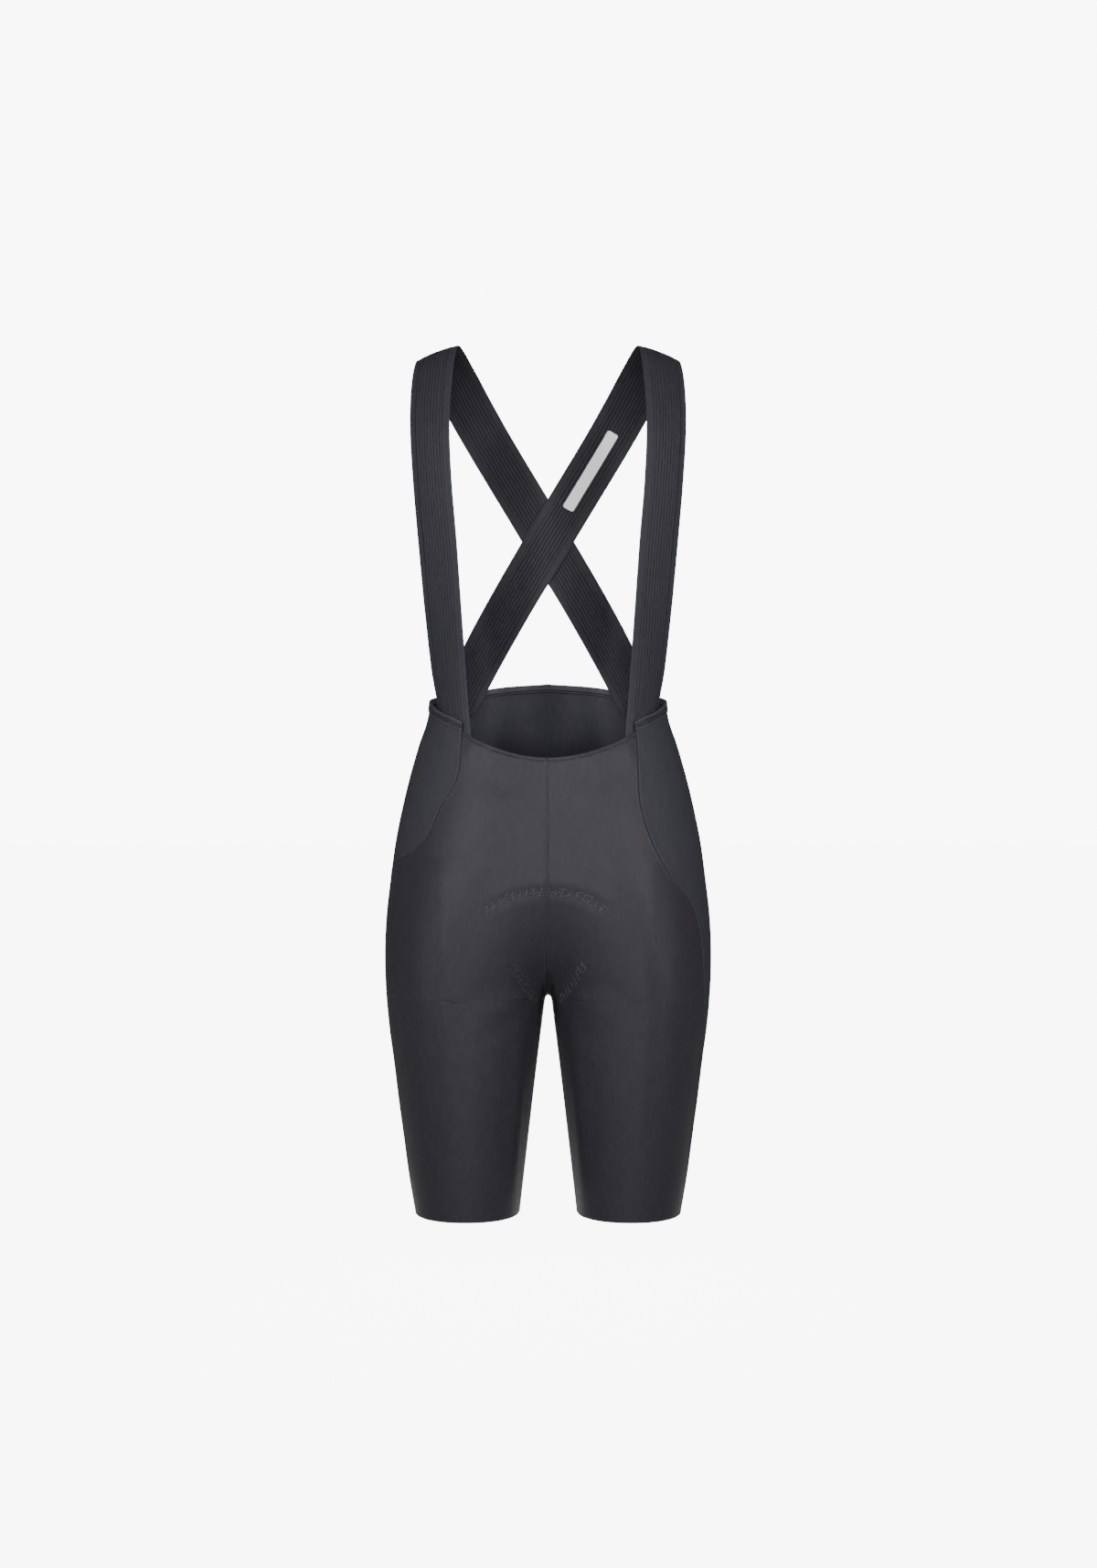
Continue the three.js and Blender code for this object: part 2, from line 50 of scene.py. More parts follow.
# Driving sizes in millimetres, the same as the solids'
CROTCH_DROP = 638
HEM_DROP = 852
SEAT_TURN_DROP = 530
BELLY_TURN_DROP = 520
FRONT_EDGE_DROP = 406
FRONT_CORNER_DROP = 381
FRONT_EDGE_CURVE = 1.8
CLOTH_THICKNESS = 1.1
ROUNDNESS = 2.1
ARCH_SPREAD = 4.4
ARCH_HALF_WIDTH = 4.2
ARCH_RISE = 4
LEG_SPREAD = 0.115
ARCH_FLARE = 3.4
FLARE_REACH = 40
SEAT_BRIDGE = 3
BELLY_FULLNESS = 1.9
SEAT_FULLNESS = 2.4
FULL_TURN = 0.9995
LEAST_AXIS_X = 0.5
LEVELS_ABOVE = 16
LEVELS_BELOW = 9
EDGE_FADE_LEVELS = 7
LEVEL_SPREAD = 2.5

STRAP_HALF_WIDTH = 23
STRAP_THICKNESS = 1.3
RIB_HEIGHT = 0.45
RIB_COUNT = 9
PLAIN_BORDER = 7.6
CROSSING_DROP = 183
CROSSING_CLEARANCE = 1.7
CROSSING_SPAN = 75
CURVE_TENSION = 0.5
BACK_CUT = 0.025
STRAP_STEPS = 36
BINDING_CLOTH = 0.9
BINDING_GAP = 0.1
PANEL_TUCK = 1.5
LABEL_WIDTH = 12
LABEL_THICKNESS = 0.7
LABEL_FROM = 23.4
LABEL_TO = 26.7
LABEL_CORNER = 2.4
LABEL_SKEW = -0.35

# Half sections: half width, y of front and back, and the axis that the half section goes round
SECTIONS = table(
    "drop half front back axis_x axis_y",
    (320, 116.5, -83, 78, 0, -1),
    (351, 116.2, -83.5, 78, 0, 0),
    (369, 119, -86, 79.5, 0, 0.5),
    (391, 126.5, -88.5, 82, 1, 1),
    (412, 132.8, -91.5, 86.5, 4, 2),
    (452, 143, -97, 98, 15, 4),
    (488, 150.3, -99.5, 110, 30, 5.5),
    (524, 155.2, -100.5, 120, 47, 7),
    (560, 159.3, -99, 125, 62, 8),
    (596, 160.8, -96, 122.5, 74, 8),
    (632, 159.8, -92, 113, 81, 7),
    (668, 156.6, -88.5, 101.5, 82, 6),
    (704, 151.7, -85, 93, 82, 5),
    (740, 147.2, -81, 86, 82, 4),
    (776, 142.2, -76, 79.5, 81.7, 3),
    (812, 137.3, -71, 73, 81, 2),
    (852, 130.5, -65, 66, 79.5, 1),
)

# Side seams: degrees round the section, with 90 at the front, 180 at the side, 270 at the back
SEAM_LEFT = table(
    "drop angle",
    (365, 133), (381, 131.5), (404, 128.5), (425, 127.5), (440, 129.5), (454, 132.5),
    (475, 134.8), (487, 138), (496, 144), (502, 152), (508, 163), (515, 174),
    (526, 181), (545, 184), (600, 185), (700, 184.5), (852, 183),
)
SEAM_RIGHT = table(
    "drop angle",
    (365, 133), (381, 132.5), (404, 129.5), (425, 127), (451, 124.2), (473, 124),
    (490, 125), (504, 127), (518, 130.5), (531, 135.5), (545, 142), (558, 146),
    (576, 148.5), (612, 151), (638, 153.4), (691, 156.5), (744, 159.3), (794, 162), (852, 165),
)

# Top of the waist binding and its height, by share of the way from side seam to centre back
WAISTLINE = table(
    "share drop height",
    (0, 370, 9.6), (0.12, 361.5, 9.4), (0.24, 353.3, 9), (0.33, 348.6, 8.6),
    (0.47, 344, 8.4), (0.62, 339.5, 8.4), (0.8, 333, 8.4), (1, 329.6, 8.4),
)

# Centre line of the left strap, the way its outer face looks, its share of the width and its curvature
STRAP_RUN = table(
    "x y z nx ny nz width curve",
    (-94, -59, -398, -0.6, -0.78, 0.2, 1.04, 0.0104),
    (-94.4, -47.1, -364, -0.76, -0.65, 0.1, 1.02, 0.015),
    (-98, -50.5, -320, -0.67, -0.74, -0.08, 1.01, 0.01),
    (-102, -63, -260, -0.6, -0.79, -0.12, 1, 0.005),
    (-106.5, -73, -200, -0.57, -0.82, -0.08, 1, 0.005),
    (-111, -78, -145, -0.57, -0.82, 0, 1, 0.005),
    (-113.8, -74.5, -92, -0.54, -0.79, 0.3, 1, 0.006),
    (-113, -57, -48, -0.46, -0.66, 0.6, 1, 0.006),
    (-110.5, -29, -17, -0.38, -0.36, 0.86, 0.98, 0.006),
    (-107, 2, -7, -0.32, 0.06, 0.95, 0.96, 0.006),
    (-96.5, 37, -22, -0.26, 0.52, 0.8, 0.98, 0.006),
    (-78, 66, -55, -0.26, 0.84, 0.48, 1, 0.005),
    (-56, 82, -92, -0.22, 0.95, 0.25, 1, 0.004),
    (-25, 95.5, -142, -0.12, 0.98, 0.12, 1, 0.004),
    (0, 99, -183, 0, 1, 0, 1, 0.004),
    (34, 93, -240, 0.22, 0.97, -0.1, 0.97, 0.005),
    (63, 73, -293, 0.46, 0.88, -0.12, 0.98, 0.008),
    (83.5, 49.8, -334, 0.61, 0.79, -0.04, 1, 0.0135),
    (96.6, 39.6, -365, 0.71, 0.68, 0.12, 1.02, 0.0135),
)

# Camera in millimetres: level with the frame's middle, looking along +Y
CAMERA_DISTANCE = 2400
CAMERA_DROP = 431
PHOTO_WIDTH, PHOTO_HEIGHT = 1200, 1715
MM_PER_PIXEL = 0.9
SENSOR = 36

# Fine mesh steps in millimetres
CLOTH_STEP = 2.1
FRONT_WIDTH = 150
BACK_WIDTH = 215
EDGE_OFFSETS = [0, 0.35, 0.7, 1.1, 1.6, 2.3, 3.3]
ARC_SAMPLES = 24


def read(rows, key, column, at):
    """Smooth value of a table's column at places along its key column."""
    keys, values = rows[key], rows[column]
    step = np.diff(keys)
    slope = np.diff(values) / step
    inner = (slope[:-1] * step[1:] + slope[1:] * step[:-1]) / (step[:-1] + step[1:])
    bend = np.concatenate([slope[:1], inner, slope[-1:]])
    i = np.clip(np.searchsorted(keys, at) - 1, 0, len(keys) - 2)
    s = np.clip((at - keys[i]) / step[i], 0, 1)
    rise = s * s * (3 - 2 * s)
    swing = s * (1 - s) * ((1 - s) * bend[i] - s * bend[i + 1]) * step[i]
    return values[i] + (values[i + 1] - values[i]) * rise + swing


def turn_under(drop, turn_drop, fullness):
    """How far the centre line has turned under the body: 1 on the belly or seat, 0 at the crotch."""
    s = np.clip((CROTCH_DROP - drop) / (CROTCH_DROP - turn_drop), 0, 1)
    return np.minimum(1 - (1 - s) ** fullness, FULL_TURN)


def join_round(drop, turn_drop, bridge):
    """Squared rounding that joins the two legs: positive above the crotch, negative below it."""
    rise = CROTCH_DROP - drop
    s = np.clip(rise / (CROTCH_DROP - turn_drop), 0, 1)
    above = ARCH_SPREAD * rise * (1 - s) * (1 + bridge * s)
    low = np.minimum(rise, 0)
    return np.where(rise > 0, above, ARCH_HALF_WIDTH ** 2 * low / (ARCH_RISE - low))


def half_sections(drop):
    """Half sections at these drops, with their front and back quarters and where each starts."""
    drop = np.asarray(drop, float)
    axis_x = np.maximum(read(SECTIONS, "drop", "axis_x", drop), LEAST_AXIS_X)
    axis_y = read(SECTIONS, "drop", "axis_y", drop)
    below = np.maximum(drop - CROTCH_DROP, 0)
    spread = LEG_SPREAD * below + ARCH_FLARE * (1 - np.exp(-below / FLARE_REACH))

    def quarter(edge, turn_drop, fullness, bridge):
        turn = turn_under(drop, turn_drop, fullness)
        inner = (axis_x - spread) / (1 - turn ** ROUNDNESS) ** (1 / ROUNDNESS)
        bend = join_round(drop, turn_drop, bridge)
        start = np.clip((axis_x - np.sqrt(np.maximum(bend, 0))) / inner, 0, 1)
        depth = read(SECTIONS, "drop", edge, drop) - axis_y
        return {"depth": depth, "inner": inner, "round": bend, "angle": np.arccos(start ** (ROUNDNESS / 2))}

    return {
        "drop": drop,
        "axis_x": axis_x,
        "axis_y": axis_y,
        "half": read(SECTIONS, "drop", "half", drop),
        "front": quarter("front", BELLY_TURN_DROP, BELLY_FULLNESS, 0),
        "back": quarter("back", SEAT_TURN_DROP, SEAT_FULLNESS, SEAT_BRIDGE),
    }


def section_points(section, angle):
    """Points of the outer surface on half sections at angles, x being the distance from the centre."""
    def grow(values):
        return values.reshape(values.shape + (1,) * (angle.ndim - values.ndim))

    def pick(name):
        return np.where(angle <= np.pi, grow(section["front"][name]), grow(section["back"][name]))

    across = np.abs(np.cos(angle)) ** (2 / ROUNDNESS)
    along = np.abs(np.sin(angle)) ** (2 / ROUNDNESS)
    outward = (angle > np.pi / 2) & (angle < 1.5 * np.pi)
    axis_x = grow(section["axis_x"])
    reach = np.sqrt(np.maximum(grow(section["half"]) ** 2 + pick("round"), 0)) - axis_x
    flat = axis_x + np.where(outward, reach, -pick("inner")) * across
    x = np.sqrt(np.maximum(flat ** 2 - pick("round"), 0))
    y = grow(section["axis_y"]) + pick("depth") * along
    z = np.broadcast_to(-grow(section["drop"]), x.shape)
    return np.stack([x, y, z], -1)


def surface_at(x, drop, is_back):
    """Points of the outer surface at these distances from the centre and these drops."""
    section = half_sections(drop)
    part = section["back" if is_back else "front"]
    flat = np.sqrt(np.maximum(x ** 2 + part["round"], 0))
    reach = np.sqrt(section["half"] ** 2 + part["round"]) - section["axis_x"]
    outer = (flat - section["axis_x"]) / reach
    inner = (section["axis_x"] - flat) / part["inner"]
    across = np.clip(np.where(outer > 0, outer, inner), 0, 1)
    y = section["axis_y"] + part["depth"] * (1 - across ** ROUNDNESS) ** (1 / ROUNDNESS)
    return np.stack([x, y, -section["drop"]], -1)


def angles_at(section, start, stop, share, offset):
    """Angles at a share of the arc length plus an offset, and each place's distance from both ends."""
    corners = [start, np.pi / 2, np.pi, 1.5 * np.pi, stop]
    corners = [np.clip(corner, start, stop) * np.ones_like(start) for corner in corners]
    steps = np.arange(ARC_SAMPLES) / ARC_SAMPLES
    stretches = [low[:, None] + (high - low)[:, None] * steps for low, high in zip(corners, corners[1:])]
    angles = np.hstack([*stretches, stop[:, None]])
    points = section_points(section, angles)
    lengths = np.cumsum(np.linalg.norm(np.diff(points, axis=1), axis=2), axis=1)
    lengths = np.hstack([np.zeros((len(start), 1)), lengths])
    total = lengths[:, -1]
    wanted = np.clip(share * total + offset, 0, total)
    i = np.clip((lengths < wanted[:, None]).sum(1), 1, lengths.shape[1] - 1)
    row = np.arange(len(start))
    before, after = lengths[row, i - 1], lengths[row, i]
    part = (wanted - before) / np.maximum(after - before, 1e-9)
    low, high = angles[row, i - 1], angles[row, i]
    return low + (high - low) * part, wanted, total - wanted


def panel_limits(section, seam, is_front):
    """Angles between which a panel runs on its sections."""
    seam_angle = np.radians(read(seam, "drop", "angle", section["drop"]))
    if is_front:
        return section["front"]["angle"], seam_angle
    return seam_angle, 2 * np.pi - section["back"]["angle"]


def edge_levels(line_at, top_drop, levels):
    """Drops at these levels along an edge line, evenly spaced by length above and below the crotch."""
    def stretch(start, stop, share):
        drops = np.linspace(start, stop, 400)
        points = line_at(drops)
        steps = np.linalg.norm(np.diff(points, axis=0), axis=1)
        lengths = np.concatenate([[0], np.cumsum(steps)])
        return np.interp(share * lengths[-1], lengths, drops)

    above = stretch(top_drop, CROTCH_DROP, levels / LEVELS_ABOVE)
    below = stretch(CROTCH_DROP, HEM_DROP, (levels - LEVELS_ABOVE) / LEVELS_BELOW)
    return np.where(levels <= LEVELS_ABOVE, above, below)


def column_places(width):
    """Share of the arc and offset in millimetres of each column, closer together at both edges."""
    edge = EDGE_OFFSETS[-1]
    count = int((width - 2 * edge) / CLOTH_STEP)
    middle = np.arange(1, count) / count
    share = np.concatenate([np.zeros(len(EDGE_OFFSETS)), middle, np.ones(len(EDGE_OFFSETS))])
    offset = np.concatenate([EDGE_OFFSETS, edge * (1 - 2 * middle), -np.array(EDGE_OFFSETS[::-1])])
    return share, offset


def row_levels():
    """Levels of the rows, closer together at the top edge and the hem."""
    near_top = [0, 0.02, 0.04, 0.06, 0.085, 0.11, 0.135, 0.16, 0.19, 0.23, 0.29, 0.38, 0.48]
    above = np.arange(0.6, LEVELS_ABOVE, 0.1)
    last = LEVELS_ABOVE + LEVELS_BELOW
    below = np.arange(LEVELS_ABOVE, last - 0.1, 0.09)
    near_hem = [last - 0.06, last - 0.035, last - 0.015, last]
    return np.concatenate([near_top, above, below, near_hem])


def panel_grid(seam, is_front):
    """One panel's outer points, with their distances from the side seam and the centre, mirrored later."""
    share, offset = column_places(FRONT_WIDTH if is_front else BACK_WIDTH)
    plain_share = np.clip(share + offset / (FRONT_WIDTH if is_front else BACK_WIDTH), 0, 1)
    seam_share = plain_share if is_front else 1 - plain_share
    waist = read(WAISTLINE, "share", "drop", plain_share)
    if is_front:
        top = FRONT_EDGE_DROP - (FRONT_EDGE_DROP - FRONT_CORNER_DROP) * plain_share ** FRONT_EDGE_CURVE
        first = top
        centre_top = FRONT_EDGE_DROP
    else:
        top = waist + PANEL_TUCK
        first = waist + read(WAISTLINE, "share", "height", plain_share)
        centre_top = read(WAISTLINE, "share", "drop", 1.0) + PANEL_TUCK

    def line_at(at_centre):
        def line(drops):
            section = half_sections(drops)
            start, stop = panel_limits(section, seam, is_front)
            return section_points(section, start if at_centre == is_front else stop)
        return line

    def level_drop(level):
        centre = edge_levels(line_at(True), centre_top, level)
        side = edge_levels(line_at(False), FRONT_CORNER_DROP, level)
        fade_levels = 1 + (EDGE_FADE_LEVELS - 1) * (1 - seam_share)
        fade = np.maximum(1 - level / fade_levels, 0) ** 2
        straight = centre_top + (FRONT_CORNER_DROP - centre_top) * seam_share
        spread = 1 - (1 - seam_share) ** LEVEL_SPREAD
        return centre + (side - centre) * spread + (top - straight) * fade

    first_level = level_drop(np.float64(1))
    drops = [] if is_front else [top + (first - top) * s for s in (0, 0.25, 0.5, 0.75)]
    levels = [0] * len(drops)
    for level in row_levels():
        drops.append(first * (1 - level) + first_level * level if level < 1 else level_drop(level))
        levels.append(level)
    points, near_start, near_stop = [], [], []
    for row_drop in drops:
        section = half_sections(row_drop)
        start, stop = panel_limits(section, seam, is_front)
        angle, from_start, from_stop = angles_at(section, start, stop, share, offset)
        points.append(section_points(section, angle))
        near_start.append(from_start)
        near_stop.append(from_stop)
    points = np.array(points)
    levels = np.array(levels)
    centre = 0 if is_front else -1
    points[levels <= LEVELS_ABOVE, centre, 0] = 0
    from_centre, from_seam = (near_start, near_stop) if is_front else (near_stop, near_start)
    return {
        "points": points,
        "levels": levels,
        "centre": centre,
        "from_centre": np.array(from_centre),
        "from_seam": np.array(from_seam),
    }


def grid_normals(points, inside):
    """Outward unit normals of a grid of points, looking away from the inside point."""
    across = np.gradient(points, axis=1)
    down = np.gradient(points, axis=0)
    normals = np.cross(across, down)
    normals /= np.maximum(np.linalg.norm(normals, axis=2, keepdims=True), 1e-12)
    facing = np.sum(normals * (points - inside))
    return normals if facing > 0 else -normals


def near_path(points, path):
    """Distance of each point from a path of close points, and the path's share there."""
    shape = points.shape[:-1]
    flat = points.reshape(-1, 3)
    low, high = path.min(0) - 30, path.max(0) + 30
    close = np.all((flat > low) & (flat < high), axis=1)
    distance = np.full(len(flat), 1e3)
    share = np.zeros(len(flat))
    if close.any():
        gaps = np.linalg.norm(flat[close][:, None] - path[None], axis=2)
        best = gaps.argmin(1)
        distance[close] = gaps[np.arange(len(best)), best]
        share[close] = best / (len(path) - 1)
    return distance.reshape(shape), share.reshape(shape)


def smooth_path(x, drop, count):
    """A smooth curve through a few places, as count places evenly spaced by length."""
    knots = np.stack([x, drop], 1).astype(float)
    at = np.linspace(0, 1, 40 * len(knots))
    fine = catmull(knots, at)
    lengths = np.concatenate([[0], np.cumsum(np.linalg.norm(np.diff(fine, axis=0), axis=1))])
    even = np.linspace(0, lengths[-1], count)
    return np.stack([np.interp(even, lengths, fine[:, k]) for k in range(2)], 1)


def surface_path(places, is_back):
    """A path of places on the surface, x being signed."""
    points = surface_at(np.abs(places[:, 0]), places[:, 1], is_back)
    points[:, 0] = places[:, 0]
    return points


def catmull(values, place):
    """Uniform Catmull-Rom curve through rows of values, at places from 0 to 1."""
    padded = np.vstack([2 * values[0] - values[1], values, 2 * values[-1] - values[-2]])
    at = np.asarray(place) * (len(values) - 1)
    i = np.clip(np.floor(at).astype(int), 0, len(values) - 2)
    w = (at - i)[..., None]
    a, b, c, d = padded[i], padded[i + 1], padded[i + 2], padded[i + 3]
    first, last = CURVE_TENSION * (c - a), CURVE_TENSION * (d - b)
    cubic = (2 * b - 2 * c + first + last) * w ** 3
    return cubic + (3 * c - 3 * b - 2 * first - last) * w ** 2 + first * w + b


def make_mesh(name, points, faces, material, uvs=None):
    """A smooth-shaded mesh object from points in millimetres."""
    mesh = bpy.data.meshes.new(name)
    mesh.from_pydata((np.asarray(points) * MM).tolist(), [], faces)
    mesh.validate()
    if uvs is not None:
        layer = mesh.uv_layers.new(name="cloth")
        corner = np.zeros(len(mesh.loops), np.int32)
        mesh.loops.foreach_get("vertex_index", corner)
        layer.data.foreach_set("uv", (np.asarray(uvs)[corner] * MM).astype(np.float32).ravel())
    mesh.polygons.foreach_set("use_smooth", [True] * len(mesh.polygons))
    mesh.set_sharp_from_angle(angle=math.radians(50))
    mesh.materials.append(material)
    piece = bpy.data.objects.new(name, mesh)
    bpy.context.scene.collection.objects.link(piece)
    return piece


def shell_faces(rows, columns, flip):
    """Faces of a closed shell of two grids of points, the outer one first."""
    index = np.arange(2 * rows * columns).reshape(2, rows, columns)
    outer, inner = index

    def quads(grid, turned):
        loop = [grid[:-1, :-1], grid[1:, :-1], grid[1:, 1:], grid[:-1, 1:]]
        loop = loop[::-1] if turned else loop
        return np.stack([side.ravel() for side in loop], 1)

    def rim(edge_outer, edge_inner, turned):
        loop = [edge_outer[:-1], edge_inner[:-1], edge_inner[1:], edge_outer[1:]]
        loop = loop[::-1] if turned else loop
        return np.stack(loop, 1)

    faces = [
        quads(outer, flip),
        quads(inner, not flip),
        rim(outer[:, 0], inner[:, 0], flip),
        rim(outer[:, -1], inner[:, -1], not flip),
        rim(outer[0], inner[0], not flip),
        rim(outer[-1], inner[-1], flip),
    ]
    return np.vstack(faces).tolist()


def loft_mesh(name, rings, material, uvs=None):
    """A closed tube through rings of points, with a fan cap at each end."""
    count, sides = rings.shape[:2]
    points = rings.reshape(-1, 3)
    index = np.arange(count * sides).reshape(count, sides)
    nexts = np.roll(index, -1, axis=1)
    faces = np.stack([index[:-1], nexts[:-1], nexts[1:], index[1:]], -1).reshape(-1, 4).tolist()
    faces.append(index[0, ::-1].tolist())
    faces.append(index[-1].tolist())
    return make_mesh(name, points, faces, material, uvs)


def turn_outward(piece):
    """Turn a closed piece's faces so that they look out of it."""
    work = bmesh.new()
    work.from_mesh(piece.data)
    bmesh.ops.recalc_face_normals(work, faces=work.faces)
    work.to_mesh(piece.data)
    work.free()
    return piece


# Cloth relief in millimetres
SEAM_DEPTH, SEAM_SPREAD = 0.4, 0.7
LIP_RISE, LIP_PLACE, LIP_SPREAD = 0.22, 2.0, 0.9
CENTRE_LIP = 0.28
FOLD_WIDTH, FOLD_RISE, FOLD_GROOVE = 3.1, 0.45, 0.45
EDGE_PINCH, EDGE_REACH = 0.4, 0.45
PAD_TROUGH, PAD_TROUGH_WIDTH, PAD_SWELL, PAD_SWELL_REACH = 0.45, 5.0, 0.3, 9.0

# Creases: side is -1 left and 1 right, x is the distance from the centre; depth < 0 is a trough
CREASES = table(
    "back side x drop end_x end_drop bow width depth",
    (0, -1, 78, 404, 42, 446, -5, 11, -0.9),
    (0, 1, 80, 404, 48, 440, -4, 10, -0.7),
    (0, -1, 14, 640, 62, 672, 4, 8, -0.8),
    (0, 1, 15, 642, 56, 680, 5, 9, -0.7),
    (0, -1, 18, 626, 86, 640, -6, 10, -0.7),
    (0, 1, 20, 622, 80, 634, -5, 9, -0.6),
    (0, -1, 16, 634, 74, 656, 0, 7, 0.5),
    (0, 1, 17, 632, 70, 655, 0, 7, 0.4),
    (0, -1, 60, 500, 112, 486, 4, 14, -0.5),
    (0, 1, 66, 494, 108, 474, 4, 13, -0.5),
    (0, -1, 8, 430, 56, 420, 4, 15, -2.4),
    (0, 1, 10, 428, 46, 420, 3, 13, -1.6),
    (0, -1, 100, 498, 93, 796, -2, 9, 1.3),
    (0, 1, 97, 498, 90, 796, 2, 9, 1.3),
    (0, -1, 23, 646, 37, 850, -3, 12, 2.8),
    (0, 1, 23, 646, 37, 850, -3, 12, 2.4),
    (0, -1, 84, 392, 66, 424, 2, 12, 0.8),
    (0, 1, 86, 388, 68, 420, 2, 12, 0.9),
    (1, -1, 24, 642, 118, 664, 10, 12, -1.5),
    (1, 1, 22, 640, 110, 668, 9, 13, -1.4),
    (1, -1, 30, 662, 96, 684, 6, 9, -0.8),
    (1, 1, 34, 664, 104, 690, 6, 9, -0.9),
    (1, -1, 8, 424, 58, 410, 3, 9, -0.6),
    (1, 1, 8, 430, 66, 420, 3, 10, -0.6),
    (1, -1, 58, 800, 112, 792, 3, 9, -0.6),
    (1, 1, 54, 806, 106, 796, 3, 8, -0.5),
)

# The pad's stitch line: front arc, side lines beside the crotch, and the arc over the seat
PAD_FRONT_ARC = table("x drop", (-60, 550.5), (-54, 548.5), (-47, 543.5), (-33, 537), (-17, 533.8),
                      (0, 533), (17, 533.8), (31, 537), (44.5, 543.5), (52, 549.5), (56, 554.5))
PAD_SIDE = table("x drop", (34, 602), (29, 612), (23.5, 621.5), (17, 632), (10, 642))
PAD_BACK_ARC = table("x drop", (-40, 622), (-50, 606), (-52, 588), (-44, 570), (-26, 557), (0, 552),
                     (26, 557), (44, 570), (52, 588), (50, 606), (40, 622))


def pad_paths(is_back):
    """Close points along the pad's stitch lines on the front or the back."""
    if is_back:
        return [surface_path(smooth_path(PAD_BACK_ARC["x"], PAD_BACK_ARC["drop"], 300), True)]
    arc = surface_path(smooth_path(PAD_FRONT_ARC["x"], PAD_FRONT_ARC["drop"], 220), False)
    sides = [surface_path(smooth_path(sign * PAD_SIDE["x"], PAD_SIDE["drop"], 80), False) for sign in (-1, 1)]
    return [arc, *sides]


def crease_lift(points, side, is_back):
    """How far the creases move points outwards."""
    lift = np.zeros(points.shape[:2])
    for i in range(len(CREASES["x"])):
        crease = {name: values[i] for name, values in CREASES.items()}
        if crease["back"] != is_back or crease["side"] != side:
            continue
        middle = (crease["x"] + crease["end_x"]) / 2
        mid_drop = (crease["drop"] + crease["end_drop"]) / 2 + crease["bow"]
        x = np.array([crease["x"], middle, crease["end_x"]]) * side
        places = smooth_path(x, [crease["drop"], mid_drop, crease["end_drop"]], 60)
        gap, share = near_path(points, surface_path(places, is_back))
        lift += crease["depth"] * np.exp(-((gap / crease["width"]) ** 2)) * np.sin(np.pi * share) ** 0.8
    return lift


def pad_lift(points, is_back):
    """The shallow trough along the pad's stitching, with the cloth swelling a little on both sides."""
    lift = np.zeros(points.shape[:2])
    for path in pad_paths(is_back):
        gap, share = near_path(points, path)
        ends = np.clip(np.minimum(share, 1 - share) * 14, 0, 1)
        lift -= PAD_TROUGH * np.exp(-((gap / PAD_TROUGH_WIDTH) ** 2)) * ends
        lift += PAD_SWELL * np.exp(-(((gap - PAD_SWELL_REACH) / 4) ** 2)) * ends
    return lift


def add_panel(name, side, seam, is_front, material):
    """One panel as a thin closed shell with its seam grooves, free edges and creases."""
    grid = panel_grid(seam, is_front)
    points = grid["points"] * [side, 1, 1]
    section = half_sections(-points[..., 2])
    inside = np.stack([side * section["axis_x"], section["axis_y"], points[..., 2]], -1)
    normals = grid_normals(points, inside)
    above = grid["levels"] <= LEVELS_ABOVE
    normals[above, grid["centre"], 0] = 0
    normals /= np.linalg.norm(normals, axis=2, keepdims=True)
    step = np.linalg.norm(np.diff(points, axis=0), axis=2)
    down = np.vstack([np.zeros((1, points.shape[1])), np.cumsum(step, axis=0)])
    lift = crease_lift(points, side, not is_front) + pad_lift(points, not is_front)
    relief = np.zeros_like(lift)
    for gap in (grid["from_seam"], grid["from_centre"]):
        relief -= SEAM_DEPTH * np.exp(-((gap / SEAM_SPREAD) ** 2))
        relief += LIP_RISE * np.exp(-(((gap - LIP_PLACE) / LIP_SPREAD) ** 2))
    if is_front and side < 0:
        relief += CENTRE_LIP * np.exp(-(((grid["from_centre"] - 1.3) / 0.8) ** 2))
    if is_front:
        relief += FOLD_RISE / (1 + np.exp((down - FOLD_WIDTH) * 6))
        relief -= FOLD_GROOVE * np.exp(-(((down - FOLD_WIDTH - 0.5) / 0.5) ** 2))
    hem = np.exp(-(((down[-1] - down) / EDGE_REACH) ** 2))
    top = np.exp(-((down / EDGE_REACH) ** 2))
    pinch = EDGE_PINCH * np.maximum(hem, top)
    outer = points + normals * (lift + relief - pinch)[..., None]
    inner = points + normals * (lift - CLOTH_THICKNESS + pinch)[..., None]
    rows, columns = points.shape[:2]
    uv = np.stack([side * grid["from_centre"], -down], -1).reshape(-1, 2)
    both = np.concatenate([outer.reshape(-1, 3), inner.reshape(-1, 3)])
    piece = make_mesh(name, both, shell_faces(rows, columns, False), material, np.vstack([uv, uv]))
    return turn_outward(piece)


# The stitched zone along the pad's lines: half width, how far it stands proud, rows and dimples
ZONE_HALF_WIDTH, ZONE_PROUD, ZONE_UNDER = 5.2, 0.08, 0.45
ZONE_STEP = 0.6
STITCH_ROWS = (-3.3, 0, 3.3)
DIMPLE_DEPTH, DIMPLE_WIDTH, DIMPLE_PITCH = 1.0, 1.1, 3.4


def wobble(along, row):
    """Uneven phase of the stitches of a row, in turns."""
    return 0.37 * row + 0.16 * np.sin(0.29 * along + row) + 0.1 * np.sin(0.83 * along + 2 * row)


